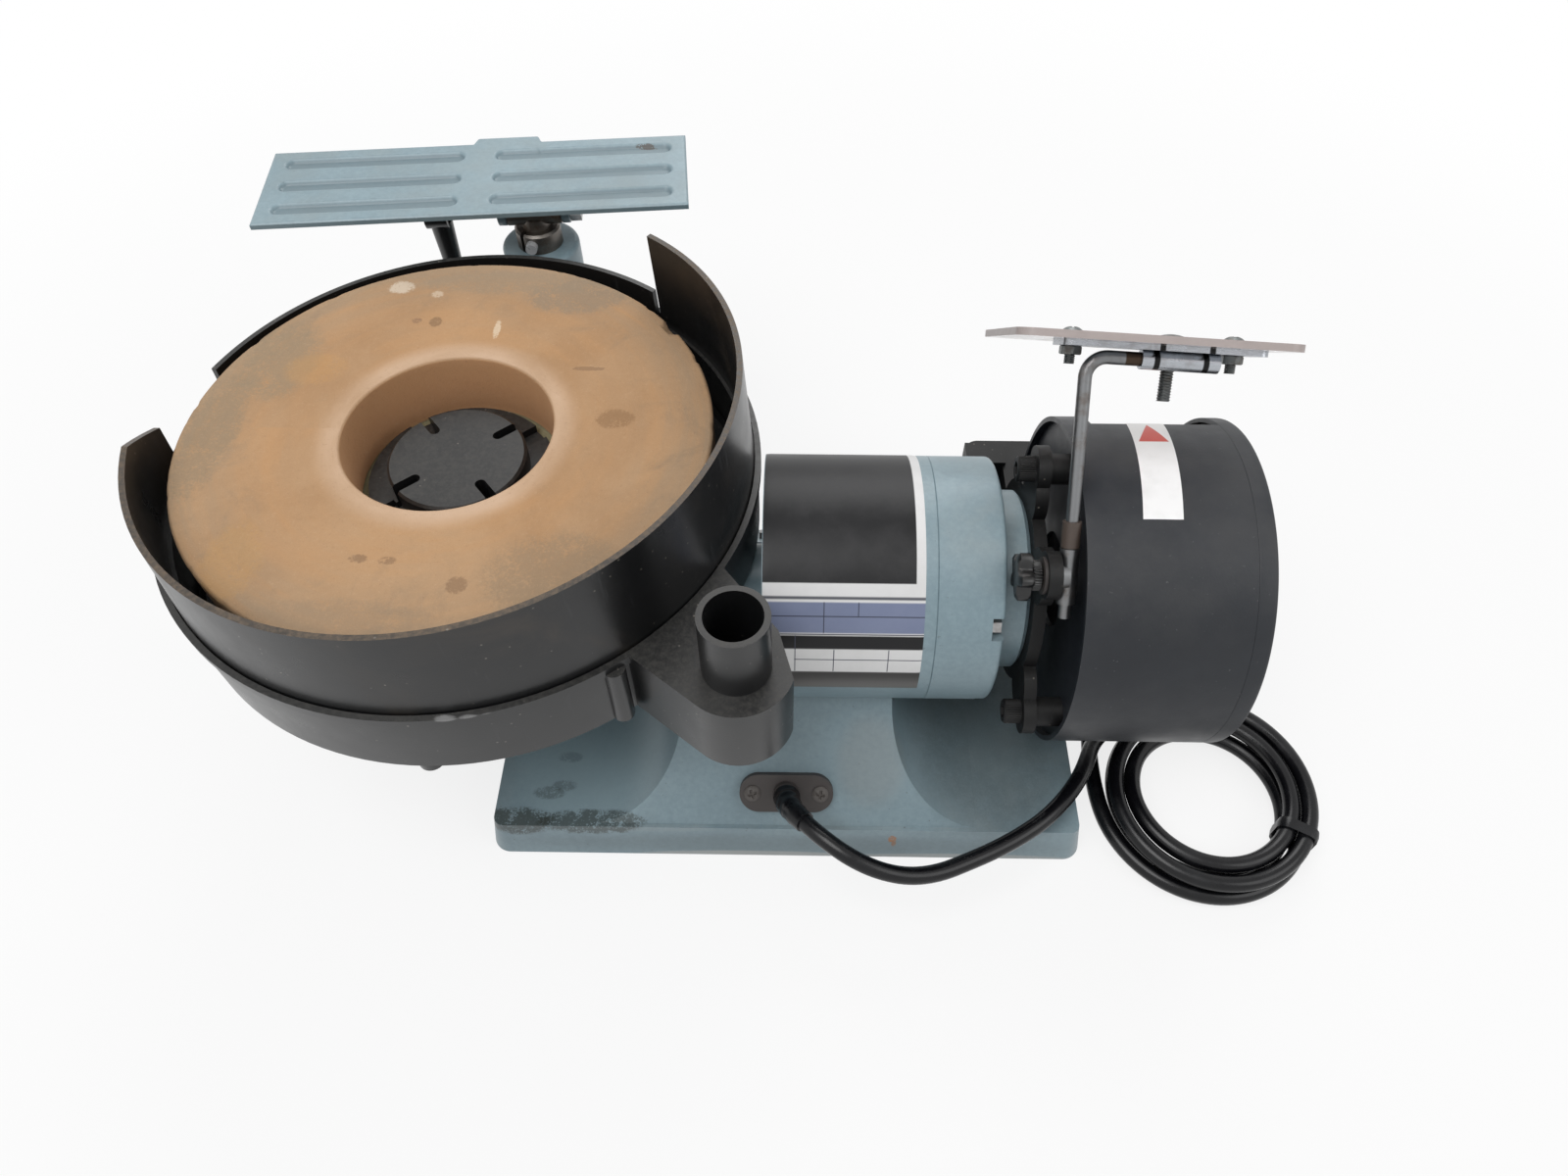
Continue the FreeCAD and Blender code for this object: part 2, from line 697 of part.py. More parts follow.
def gear_housing():
    """Casting that closes the motor's left end: flange, worm snout, gearbox, spindle tower, arm and boss."""
    body = new_body("gear_housing")
    axis = (0, S.motor_z)
    wheel = (WHEEL_X, S.wheel_y)
    rest = (REST_X, REST_Y)
    pad(body, "YZ", [circle(*axis, S.motor_r)], FLANGE_LEFT, S.shell_left)
    seat_right = S.shell_left + S.bearing_width + 1
    pad(body, "YZ", [circle(*axis, S.bearing_r + 5)], S.shell_left - 1, seat_right)
    pad(body, "YZ", [circle(*axis, S.snout_r)], SNOUT_LEFT, FLANGE_LEFT + 1)
    pad(body, "XY", [circle(*wheel, S.gearbox_r)], S.gearbox_bottom, S.tray_z)
    pad(body, "XY", [circle(*wheel, TOWER_R)], S.tray_z - 1, TOWER_TOP)
    arm = chain([(WHEEL_X - S.arm_half, S.wheel_y), (WHEEL_X + S.arm_half, S.wheel_y),
                 (REST_X + S.arm_end, REST_Y), (REST_X - S.arm_end, REST_Y)])
    pad(body, "XY", [arm], S.gearbox_bottom + 6, S.tray_z - 6)
    boss_bottom = S.gearbox_bottom + 1
    pad(body, "XY", [circle(*rest, S.boss_r)], boss_bottom, S.boss_top)
    tunnel = S.worm_pitch_r + 4
    pocket(body, "YZ", [circle(*axis, tunnel)], SNOUT_LEFT - 1, S.shell_left + 1)
    pocket(body, "YZ", [circle(*axis, S.bearing_r + S.seat_gap)], S.shell_left, seat_right + 1)
    pocket(body, "YZ", [circle(*axis, S.stub_bearing_r + S.seat_gap)], SNOUT_LEFT - 1,
           SNOUT_LEFT + S.small_bearing_width + 1)
    pocket(body, "XY", [circle(*wheel, GEAR_PITCH_R + 5)], S.gearbox_bottom + 8, S.tray_z - 6)
    pocket(body, "XY", [circle(*wheel, S.journal_bearing_r + S.seat_gap)], S.gearbox_bottom - 1,
           S.gearbox_bottom + S.small_bearing_width + 2)
    pocket(body, "XY", [circle(*wheel, SPINDLE_SEAT_R + S.seat_gap)], S.tray_z - 7, TOWER_TOP + 1)
    pocket(body, "XY", [circle(*rest, S.post_r + S.run_gap)], boss_bottom + 8, S.boss_top + 1)
    round_edges(body, 2, lambda edge: is_circle_at(edge, S.boss_r.value, S.boss_top.value))


def is_circle_at(edge, radius, z):
    """True for a full round edge of the given radius that lies level at height z."""
    curve = edge.Curve
    if not isinstance(curve, Part.Circle) or abs(curve.Radius - radius) > 1e-3:
        return False
    return abs(edge.BoundBox.ZMin - z) < 1e-3 and abs(edge.BoundBox.ZMax - z) < 1e-3


def tray_screw_spots():
    """Screws that hold the tray on the gearbox, measured from the wheel's axis."""
    return [polar(S.gearbox_r - 3.2, 30 + 120 * k) for k in range(3)]


def gear_covers():
    """Round cover under the gearbox, cap on the snout's end, and the screws in the housing."""
    low = S.gearbox_bottom - S.cap_thick
    cover = turned_z("gear_cover", [(0, low), (S.gearbox_r - 2, low), (S.gearbox_r, low + 2),
                                    (S.gearbox_r, S.gearbox_bottom), (0, S.gearbox_bottom)])
    spots = [polar(S.gearbox_r - 6, 45 + 90 * k) for k in range(4)]
    pocket(cover, "XY", [circle(x, y, 4.2) for x, y in spots], low - 1, low + 2)
    screws = new_body("housing_screws", WHEEL_AXIS)
    pad(screws, "XY", [circle(x, y, 4) for x, y in spots], low - 0.2, low + 2)
    for x, y in tray_screw_spots():
        pad(screws, "XY", [circle(x, y, 2)], S.tray_z, TRAY_FLOOR)
        pad(screws, "XY", [circle(x, y, 3.6)], TRAY_FLOOR, TRAY_FLOOR + 2.2)
    end = SNOUT_LEFT - S.cap_thick
    turned_x("snout_cap", [(end, 0), (SNOUT_LEFT, 0), (SNOUT_LEFT, S.snout_r), (end + 2, S.snout_r),
                           (end, S.snout_r - 2)])


def bearings():
    """Three bearings on the motor shaft, two on the spindle, and the seal above them."""
    body = new_body("shaft_bearings", MOTOR_AXIS)
    right_seat = S.bell_boss_right - 2 - S.bearing_width
    for left in (S.shell_left, right_seat):
        profile = bearing_profile(left, S.shaft_r, S.bearing_r, S.bearing_width)
        revolve(body, "XY", [chain(profile)], "H_Axis")
    profile = bearing_profile(SNOUT_LEFT + 0.5, S.stub_r, S.stub_bearing_r, S.small_bearing_width)
    revolve(body, "XY", [chain(profile)], "H_Axis")
    body = new_body("spindle_bearings", WHEEL_AXIS)
    low = bearing_profile(S.gearbox_bottom + 0.5, S.journal_r, S.journal_bearing_r, S.small_bearing_width)
    high = bearing_profile(S.tray_z - 7, S.spindle_r, SPINDLE_SEAT_R, 9)
    for profile in (low, high):
        revolve(body, "XZ", [chain([(r, z) for z, r in profile])], "V_Axis")
    ring_z("spindle_seal", S.tray_z + 2.2, TOWER_TOP - 0.2, S.spindle_r + S.run_gap, SPINDLE_SEAT_R)


def worm_thread(left, right):
    """Two helical threads of trapezoid section round the worm's root, cut off square at both ends."""
    module = 2 * GEAR_PITCH_R.value / S.gear_teeth.value
    axial_pitch = math.pi * module
    lead = axial_pitch * S.worm_starts.value
    root = S.worm_pitch_r.value - 1.3
    crest = S.worm_pitch_r.value + 1.0
    foot_half, crest_half = 0.27 * axial_pitch, 0.12 * axial_pitch
    length = right - left
    helix = Part.makeHelix(lead, length + 2 * axial_pitch, root)
    threads = []
    for start in range(int(S.worm_starts.value)):
        section = Part.makePolygon([Vector(root - 0.3, 0, -foot_half), Vector(crest, 0, -crest_half),
                                    Vector(crest, 0, crest_half), Vector(root - 0.3, 0, foot_half),
                                    Vector(root - 0.3, 0, -foot_half)])
        shell = Part.BRepOffsetAPI.MakePipeShell(Part.Wire(helix.Edges))
        shell.setFrenetMode(True)
        shell.add(section)
        shell.build()
        shell.makeSolid()
        thread = shell.shape()
        thread.rotate(Vector(0, 0, 0), Vector(0, 0, 1), 360 * start / S.worm_starts.value)
        threads.append(thread)
    keep = Part.makeCylinder(crest + 1, length, Vector(0, 0, axial_pitch))
    solid = Part.makeCylinder(root, length, Vector(0, 0, axial_pitch))
    for thread in threads:
        solid = solid.fuse(thread.common(keep))
    solid = solid.removeSplitter()
    solid.translate(Vector(0, 0, left - axial_pitch))
    solid.rotate(Vector(0, 0, 0), Vector(0, 1, 0), 90)
    return solid


def rotor_pieces():
    """Motor shaft with the worm on its left end, rotor, fan and the dry wheel with its flanges and nut."""
    reach = 16
    worm_left, worm_right = WHEEL_X - reach, WHEEL_X + reach
    right_end = S.dry_wheel_left + S.dry_wheel_thick + S.arbor_flange_thick + S.nut_thick + 1
    stub_left = SNOUT_LEFT + 0.5
    neck = S.worm_pitch_r - 1.8
    shoulder = S.dry_wheel_left - S.arbor_flange_thick
    blank = new_body("shaft_blank", MOTOR_AXIS, node=False)
    profile = [(worm_right - 1, 0), (right_end, 0), (right_end, S.arbor_r - 1), (right_end - 1, S.arbor_r),
               (shoulder, S.arbor_r), (shoulder, S.shaft_r), (S.shell_left, S.shaft_r),
               (S.shell_left, neck), (worm_right - 1, neck)]
    revolve(blank, "XY", [chain(profile)], "H_Axis")
    stub = Part.makeCylinder(S.stub_r.value, worm_left.value - stub_left.value + 1,
                             Vector(stub_left.value, 0, 0), Vector(1, 0, 0))
    worm = doc.addObject("Part::Feature", "worm")
    worm.Shape = worm_thread(worm_left.value, worm_right.value).fuse(stub).removeSplitter()
    place(worm, MOTOR_AXIS)
    shaft = doc.addObject("Part::MultiFuse", "motor_shaft")
    shaft.Label = "motor_shaft"
    shaft.Shapes = [blank, worm]
    NODES.append(shaft)
    ring_x("rotor_core", S.stator_left, S.stator_right, S.shaft_r + S.run_gap, STATOR_BORE - S.air_gap)
    fan_left = S.stator_right + S.winding_length + 3
    fan = ring_x("cooling_fan", fan_left, fan_left + 3, S.shaft_r + S.run_gap, S.fan_r)
    blade = rectangle(S.shaft_r + 6, -0.8, S.fan_r - 1, 0.8)
    add_pattern(fan, pad(fan, "YZ", [blade], fan_left + 2, fan_left + 9), 9, "X")
    dry_left, dry_right = S.dry_wheel_left, S.dry_wheel_left + S.dry_wheel_thick
    bore = S.arbor_r + S.run_gap
    ring_x("dry_wheel", dry_left, dry_right, bore, S.dry_wheel_r)
    flanges = new_body("dry_wheel_flanges", MOTOR_AXIS)
    dish = S.arbor_flange_r - 8
    for face, outward in ((dry_left, -1), (dry_right, 1)):
        relief, rim, out = (face + outward * step for step in (1, 2, S.arbor_flange_thick))
        profile = [(face, dish), (relief, dish), (relief, bore), (out, bore), (out, dish),
                   (rim, S.arbor_flange_r), (face, S.arbor_flange_r)]
        revolve(flanges, "XY", [chain(profile)], "H_Axis")
    nut = new_body("arbor_nut", MOTOR_AXIS)
    nut_left = dry_right + S.arbor_flange_thick
    pad(nut, "YZ", [hexagon(0, 0, S.nut_across), circle(0, 0, bore)], nut_left, nut_left + S.nut_thick)


def add_pattern(body, feature, count, axis):
    """Repeats a feature round one of the body's own axes."""
    pattern = body.newObject("PartDesign::PolarPattern", f"{body.Label}_pattern")
    line = [part for part in body.Origin.OriginFeatures if part.Role == f"{axis}_Axis"][0]
    pattern.Originals = [feature]
    pattern.Axis = (line, [""])
    pattern.Angle = 360
    pattern.Occurrences = count
    body.Tip = pattern
    return pattern


def gear_tooth_wheel():
    """Worm wheel: a hub with slanted teeth whose flanks leave the tooth gap to the worm's threads."""
    module = 2 * GEAR_PITCH_R.value / S.gear_teeth.value
    axial_pitch = math.pi * module
    lead = axial_pitch * S.worm_starts.value
    pitch_r = GEAR_PITCH_R.value
    root, crest = pitch_r - 1.2, pitch_r + 0.8
    foot_half, crest_half = 0.21 * axial_pitch, 0.09 * axial_pitch
    slant = lead / (2 * math.pi * S.worm_pitch_r.value)
    half = S.gear_width.value / 2
    solid = Part.makeCylinder(root, 2 * half, Vector(0, 0, -half))
    angle_step = 360 / S.gear_teeth.value
    for tooth in range(int(S.gear_teeth.value)):
        slices = []
        for level in (-half, half):
            turn = level * slant
            slices.append(Part.makePolygon([Vector(root - 0.3, -foot_half + turn, level),
                                            Vector(crest, -crest_half + turn, level),
                                            Vector(crest, crest_half + turn, level),
                                            Vector(root - 0.3, foot_half + turn, level),
                                            Vector(root - 0.3, -foot_half + turn, level)]))
        blade = Part.makeLoft(slices, True, True)
        blade.rotate(Vector(0, 0, 0), Vector(0, 0, 1), -90 + angle_step * (tooth + 0.5))
        solid = solid.fuse(blade)
    throat = Part.makeTorus(S.wheel_y.value, S.worm_pitch_r.value + 1.35, Vector(0, 0, 0))
    solid = solid.cut(throat)
    bore = Part.makeCylinder(S.journal_r.value + S.run_gap.value, 2 * half + 2, Vector(0, 0, -half - 1))
    return solid.cut(bore).removeSplitter()


def wheel_pieces():
    """Spindle with worm wheel, wheel flange, stone with its recess, and the slotted hub cap."""
    step = S.tray_z - 7
    top = RECESS_FLOOR + S.cap_height - 3
    foot = S.gearbox_bottom + 0.5
    turned_z("spindle", [(0, foot), (S.journal_r, foot), (S.journal_r, step), (S.spindle_r, step),
                         (S.spindle_r, top - 1), (S.spindle_r - 1, top), (0, top)])
    keep_shape("worm_wheel", gear_tooth_wheel(), (WHEEL_X, S.wheel_y, S.motor_z))
    bore = S.spindle_r + S.run_gap
    turned_z("wheel_flange", [(bore, WHEEL_FLANGE_BOTTOM), (S.wheel_flange_r - 3, WHEEL_FLANGE_BOTTOM),
                              (S.wheel_flange_r, WHEEL_FLANGE_BOTTOM + 2), (S.wheel_flange_r, STONE_BOTTOM),
                              (bore, STONE_BOTTOM)])
    edge = 1.5
    turned_z("grinding_stone", [(bore, STONE_BOTTOM), (S.stone_r, STONE_BOTTOM),
                                (S.stone_r, S.stone_top - edge), (S.stone_r - edge, S.stone_top),
                                (S.recess_r + 2, S.stone_top), (S.recess_r, S.stone_top - 1.2),
                                (S.recess_r, RECESS_FLOOR), (bore, RECESS_FLOOR)])
    flange_top = RECESS_FLOOR + S.cap_flange_thick
    cap_top = RECESS_FLOOR + S.cap_height
    cap_turn = Rotation(Vector(0, 0, 1), S.cap_turn.value)
    cap = turned_z("hub_cap", [(bore, RECESS_FLOOR), (S.cap_flange_r, RECESS_FLOOR),
                               (S.cap_flange_r, flange_top), (S.cap_disc_r, flange_top),
                               (S.cap_disc_r, cap_top - 1), (S.cap_disc_r - 1, cap_top), (0, cap_top),
                               (0, top + S.free_gap), (bore, top + S.free_gap)], WHEEL_AXIS, cap_turn)
    slit = slot(S.cap_disc_r * 0.6, S.cap_flange_r + 5, 0, 4.2)
    add_pattern(cap, pocket(cap, "XY", [slit], flange_top - 3, cap_top + 1), 4, "Z")
    notch = rectangle(-4, S.cap_disc_r + 1, 4, S.cap_flange_r + 2)
    notch_cut = pocket(cap, "XY", [notch], RECESS_FLOOR + 1.5, flange_top + 1)
    add_pattern(cap, notch_cut, 4, "Z")


def tray():
    """Round water tray with a stepped rim, a centre collar, and an ear with an upright filler tube."""
    centre = (TRAY_X, S.wheel_y, 0)
    body = new_body("water_tray", centre)
    rim_bottom = S.tray_rim_z - S.rim_height
    wall_top_r = TRAY_RIM_R - S.rim_lip
    outer = chain([(0, S.tray_z), (TRAY_FLOOR_R - S.tray_corner, S.tray_z),
                   (TRAY_FLOOR_R, S.tray_z + S.tray_corner), (wall_top_r, rim_bottom - 1),
                   (TRAY_RIM_R, rim_bottom), (TRAY_RIM_R, S.tray_rim_z), (0, S.tray_rim_z)])
    revolve(body, "XZ", [outer], "V_Axis")
    aim = S.tube_angle.value
    tube_u, tube_v = polar(TRAY_RIM_R + S.tube_out, S.tube_angle)
    near = polar(TRAY_RIM_R - S.ear_root, S.tube_angle - S.ear_near)
    far = polar(TRAY_RIM_R - S.ear_root, S.tube_angle + S.ear_far)

    def around(angle):
        u, v = polar(S.ear_r, angle)
        return tube_u + u, tube_v + v

    ear = chain([near, (*around(aim - 90), S.ear_r), around(-15), around(46), far])
    pad(body, "XY", [ear], S.tray_z + 1, S.tray_rim_z)
    seat_in = TRAY_RIM_R - S.rim_width - 4
    inner = chain([(0, TRAY_FLOOR), (TRAY_FLOOR_R - S.tray_wall - 2, TRAY_FLOOR),
                   (TRAY_FLOOR_R - S.tray_wall, TRAY_FLOOR + 2), (seat_in, RING_SEAT_Z),
                   (RING_SEAT_R, RING_SEAT_Z), (RING_SEAT_R, S.tray_rim_z + 5), (0, S.tray_rim_z + 5)])
    revolve(body, "XZ", [inner], "V_Axis", "Groove")
    pad(body, "XY", [circle(tube_u, tube_v, S.tube_r)], S.tray_rim_z - 1, S.tube_top)
    pocket(body, "XY", [circle(tube_u, tube_v, S.tube_bore)], TRAY_FLOOR, S.tube_top + 1)
    hub_u = WHEEL_X - TRAY_X
    collar_in = TOWER_R + S.free_gap
    collar_top = TRAY_FLOOR + S.collar_height
    pad(body, "XY", [circle(hub_u, 0, collar_in + S.collar_wall)], S.tray_z + 1, collar_top)
    pocket(body, "XY", [circle(hub_u, 0, collar_in)], S.tray_z - 1, collar_top + 1)
    channel = S.duct_half.value
    along = math.radians(aim)
    side_u, side_v = -channel * math.sin(along), channel * math.cos(along)
    inside_u, inside_v = polar(TRAY_FLOOR_R - 8, aim)
    duct = chain([(inside_u - side_u, inside_v - side_v), (tube_u - side_u, tube_v - side_v),
                  (tube_u + side_u, tube_v + side_v), (inside_u + side_u, inside_v + side_v)])
    pocket(body, "XY", [duct], TRAY_FLOOR, TRAY_FLOOR + S.duct_height)
    rib_u, rib_v = polar(TRAY_FLOOR_R, S.tube_angle - S.rib_angle)
    pad(body, "XY", [circle(rib_u, rib_v, S.rib_r)], S.tray_z + 2, rim_bottom + 1)
    holes = [circle(hub_u + x, y, 2.2) for x, y in tray_screw_spots()]
    pocket(body, "XY", holes, S.tray_z - 1, TRAY_FLOOR + 1)
    nub_u, nub_v = polar(TRAY_FLOOR_R - S.nub_inset, -90)
    pad(body, "XY", [circle(nub_u, nub_v, S.nub_r)], S.tray_z - 4, S.tray_z + 1)
    pad(body, "XY", [circle(nub_u, nub_v, S.nub_tip_r)], S.tray_z - 7, S.tray_z - 3)


def splash_pieces():
    """High C-shaped splash ring with a sloped top and a slanted end, and the low band behind the wheel."""
    centre = (TRAY_X, S.wheel_y, 0)
    lift = S.ring_top_z + 9
    lean = S.ring_flare / (S.ring_top_z - RING_SEAT_Z)

    def wall(top):
        inset = lean * (top - RING_SEAT_Z)
        return chain([(RING_FOOT_R - S.ring_wall, RING_SEAT_Z), (RING_FOOT_R, RING_SEAT_Z),
                      (RING_FOOT_R - inset, top), (RING_FOOT_R - S.ring_wall - inset, top)])

    ring = new_body("splash_ring", centre)
    revolve(ring, "XZ", [wall(lift)], "V_Axis", sweep=S.ring_right_angle, back_sweep=S.ring_left_angle)
    reach = TRAY_RIM_R + 5
    drop = reach * sine(S.ring_slope)
    over = lift + 5
    left_top, right_top = S.ring_top_z - drop, S.ring_top_z + drop
    top_cut = chain([(-reach, left_top), (reach, right_top), (reach, over), (-reach, over)])
    pocket(ring, "XZ", [top_cut], -reach, reach)
    run, corner_low = S.ring_corner_run, left_top - S.ring_corner_drop
    corner = chain([(-run, left_top + 1), (1, corner_low), (1, over), (-run, over)])
    pocket(ring, "YZ", [corner], -reach, 0)
    band = new_body("back_band", centre, Rotation(Vector(0, 0, 1), S.band_start.value))
    revolve(band, "XZ", [wall(S.band_top_z)], "V_Axis", sweep=S.band_sweep)


def tool_rest():
    """Split post in the boss, bracket with barrel, pressed plate on two lugs, pivot bolt and lock lever."""
    axis = (REST_X, REST_Y, 0)
    pivot = (REST_X, REST_Y, S.pivot_z)
    post = turned_z("rest_post", [(S.stem_r + S.run_gap, S.post_top - S.post_length),
                                  (S.post_r, S.post_top - S.post_length), (S.post_r, S.post_top - 1),
                                  (S.post_r - 1, S.post_top), (S.stem_r + S.run_gap, S.post_top)], axis)
    slit = rectangle(-S.post_r - 1, -1, 0, 1)
    turn = Placement(Vector(0, 0, S.boss_top.value - 4), Rotation(Vector(0, 0, 1), 55))
    pocket(post, "XY", [slit], 0, S.post_top - S.boss_top + 5, tilt=turn)
    bolt = new_body("post_clamp_bolt", (REST_X, REST_Y, (S.boss_top + S.post_top) / 2))
    pad(bolt, "XZ", [circle(-1.5, 0, 2.6)], S.post_r - 1.5, S.post_r + 3)
    pocket(post, "XZ", [circle(-1.5, (S.boss_top + S.post_top) / 2, 2.7)], S.stem_r - 1, S.post_r + 1)
    screw = new_body("boss_screw", axis)
    level = (S.boss_top + S.gearbox_bottom) / 2
    pad(screw, "YZ", [hexagon(0, level, 9)], S.boss_r + 0.05, S.boss_r + 6)

    bracket = new_body("rest_bracket", pivot, REST_TURN)
    half = S.barrel_length / 2
    pad(bracket, "YZ", [circle(0, 0, S.barrel_r)], -half, half)
    stem_low = S.post_top - S.pivot_z - S.stem_length
    pad(bracket, "XY", [circle(0, 0, S.stem_r)], stem_low, -2)
    pocket(bracket, "YZ", [circle(0, 0, S.pivot_bolt_r + S.run_gap)], -half - 5, half + 5)

    plate = new_body("rest_plate", pivot, REST_TURN)
    top = S.rest_top - S.pivot_z
    low = top - S.rest_thick
    left, right = S.rest_shift_u - S.rest_length / 2, S.rest_shift_u + S.rest_length / 2
    near, far = S.rest_shift_v - S.rest_depth / 2, S.rest_shift_v + S.rest_depth / 2
    pad(plate, "XY", [round_rectangle(left, near, right, far, 2)], low, top)
    tab_left = S.rest_shift_u + S.tab_shift - S.tab_half
    tab_right = tab_left + 2 * S.tab_half
    pad(plate, "XY", [round_rectangle(tab_left, far - 4, tab_right, far + S.tab_depth, 2)], low, top)
    gap = (S.rest_length - 2 * S.groove_length) / 4
    rows = [S.rest_shift_v + k * S.groove_pitch for k in (-1, 0, 1)]
    starts = [left + gap, S.rest_shift_u + gap]
    grooves = [slot(u, u + S.groove_length, v, S.groove_width) for u in starts for v in rows]
    pocket(plate, "XY", grooves, top - 1.2, top + 1)
    eye = S.barrel_r
    for inner in (half + S.free_gap, -half - S.free_gap - S.lug_thick):
        lug = chain([(-eye, low + 1), (-eye, 0, eye + 0.02), (eye, 0), (eye, low + 1)])
        pad(plate, "YZ", [lug], inner, inner + S.lug_thick)
    reach = half + S.lug_thick + 5
    pocket(plate, "YZ", [circle(0, 0, S.pivot_bolt_r + S.run_gap)], -reach, reach)

    bolt = new_body("rest_pivot_bolt", pivot, REST_TURN)
    head = half + S.free_gap + S.lug_thick
    pad(bolt, "YZ", [circle(0, 0, S.pivot_bolt_r)], S.lever_u + 4, head + 1)
    pad(bolt, "YZ", [hexagon(0, 0, 10)], head + 0.2, head + 5)
    lever = new_body("rest_lock_lever", pivot, REST_TURN)
    hub = 6.2
    pad(lever, "YZ", [circle(0, 0, hub)], S.lever_u - 6, S.lever_u + 4)
    handle = chain([(S.lever_u, -3), (S.lever_u, -S.lever_length), (S.lever_u + 3, -S.lever_length),
                    (S.lever_u + 4, 1 - S.lever_length), (S.lever_u + 5.2, -3)])
    sketch = add_sketch(lever, "XZ", [handle])
    middle = S.lever_u.value
    turn_axis = sketch.addGeometry(Part.LineSegment(Vector(middle, -1, 0), Vector(middle, 1, 0)), True)
    hold(sketch, "DistanceX", (-1, 1, turn_axis, 1), S.lever_u)
    hold(sketch, "DistanceX", (-1, 1, turn_axis, 2), S.lever_u)
    grip = add_feature(lever, "Revolution", sketch)
    grip.ReferenceAxis = (sketch, ["Axis0"])
    grip.Angle = 360


def guard_pieces():
    """Black spider on the end bell, guard drum with an open window at the front, and its end cover."""
    spider = new_body("guard_spider", MOTOR_AXIS)
    left, right = S.bell_boss_right, SPIDER_RIGHT
    pad(spider, "YZ", [circle(0, 0, S.spider_hub_r), circle(0, 0, S.shaft_r + 2)], left, right)
    screw_spots = [polar(S.spider_screw_r, angle) for angle in (78.8, 198.8, 318.8)]
    for y, z in screw_spots:
        pad(spider, "YZ", [circle(y, z, S.spider_lobe_r)], left, right)
        pad(spider, "YZ", [circle(y, z, 6)], right - 1, GUARD_WALL_X)
        web_y, web_z = y * 0.8, z * 0.8
        pad(spider, "YZ", [circle(web_y, web_z, S.spider_web_r)], left, right)
    clamp_y, clamp_z = sleeve_spot()
    pad(spider, "YZ", [circle(clamp_y, clamp_z, S.spider_lobe_r)], left, right)
    pad(spider, "YZ", [circle(clamp_y * 0.8, clamp_z * 0.8, S.spider_web_r - 1)], left, right)
    pocket(spider, "YZ", [circle(clamp_y, clamp_z, 3.2)], left - 1, right + 1)
    block_z = S.rest_block_top - S.motor_z
    block_low, block_far = S.dry_rest_z - S.motor_z, S.rest_block_near + S.rest_block_depth
    web_near = S.spider_hub_r - S.spider_web_r
    pad(spider, "YZ", [rectangle(web_near, block_low + 2, block_far, block_z - 2)], left, right)
    block = rectangle(S.rest_block_near, block_low, block_far, block_z)
    pad(spider, "YZ", [block], left - S.rest_block_length, left + 1)
    pocket(spider, "YZ", [circle(y, z, 2.7) for y, z in screw_spots], left - 1, GUARD_WALL_X + 1)
    screws = new_body("guard_screws", MOTOR_AXIS)
    for y, z in screw_spots:
        pad(screws, "YZ", [circle(y, z, 2.5)], left, GUARD_WALL_X)
        pad(screws, "YZ", [circle(y, z, 5)], left - 7, left)
        pocket(screws, "YZ", [hexagon(y, z, 5)], left - 8, left - 3)

    drum = new_body("guard_drum", MOTOR_AXIS)
    inner = S.guard_r - S.guard_wall
    wall_right = GUARD_WALL_X + S.guard_wall
    hole = S.arbor_flange_r - 4
    profile = chain([(S.guard_left, inner), (S.guard_left, S.guard_r), (S.guard_seam, S.guard_r),
                     (S.guard_seam, inner), (wall_right, inner), (wall_right, hole), (GUARD_WALL_X, hole),
                     (GUARD_WALL_X, inner)])
    revolve(drum, "XY", [profile], "H_Axis")
    outer = S.guard_r + 10
    core = S.guard_r - 12
    low_angle, high_angle = S.window_low, S.window_high
    window = chain([polar(core, low_angle), (*polar(outer, low_angle), outer), polar(outer, high_angle),
                    (*polar(core, high_angle), -core)])
    pocket(drum, "YZ", [window], WINDOW_LEFT, S.guard_seam + 1)
    lug_r = S.guard_r - 7.5
    lug_spots = [polar(lug_r, angle) for angle in (90, 180, 270)]
    cover_wall = S.guard_right - S.guard_wall
    dry_right = S.dry_wheel_left + S.dry_wheel_thick
    for y, z in lug_spots:
        pad(drum, "YZ", [circle(y, z, 6)], dry_right + 3, S.guard_seam)
    pocket(drum, "YZ", [circle(y, z, 2) for y, z in lug_spots], dry_right + 2, S.guard_seam + 1)
    cover = turned_x("guard_cover", [(S.guard_seam, inner + 0.1), (S.guard_seam, S.guard_r),
                                     (S.guard_right - 5, S.guard_r, -5), (S.guard_right, S.guard_r - 5),
                                     (S.guard_right, 0), (cover_wall, 0), (cover_wall, inner - 3),
                                     (cover_wall - 2, inner + 0.1)])
    for y, z in lug_spots:
        pad(cover, "YZ", [circle(y, z, 6)], S.guard_seam, cover_wall + 0.5)
    pocket(cover, "YZ", [circle(y, z, 2) for y, z in lug_spots], S.guard_seam - 1, S.guard_right + 1)
    pad(screws, "YZ", [circle(y, z, 1.9) for y, z in lug_spots], dry_right + 5, S.guard_right)
    pad(screws, "YZ", [circle(y, z, 4) for y, z in lug_spots], S.guard_right, S.guard_right + 2.5)


def sleeve_spot():
    """The clamp sleeve's middle, measured from the motor axis in Y and Z."""
    y = S.shield_y - S.sleeve_drop * sine(S.rod_lean)
    z = S.shield_z - S.sleeve_drop * cosine(S.rod_lean) - S.motor_z
    return y, z


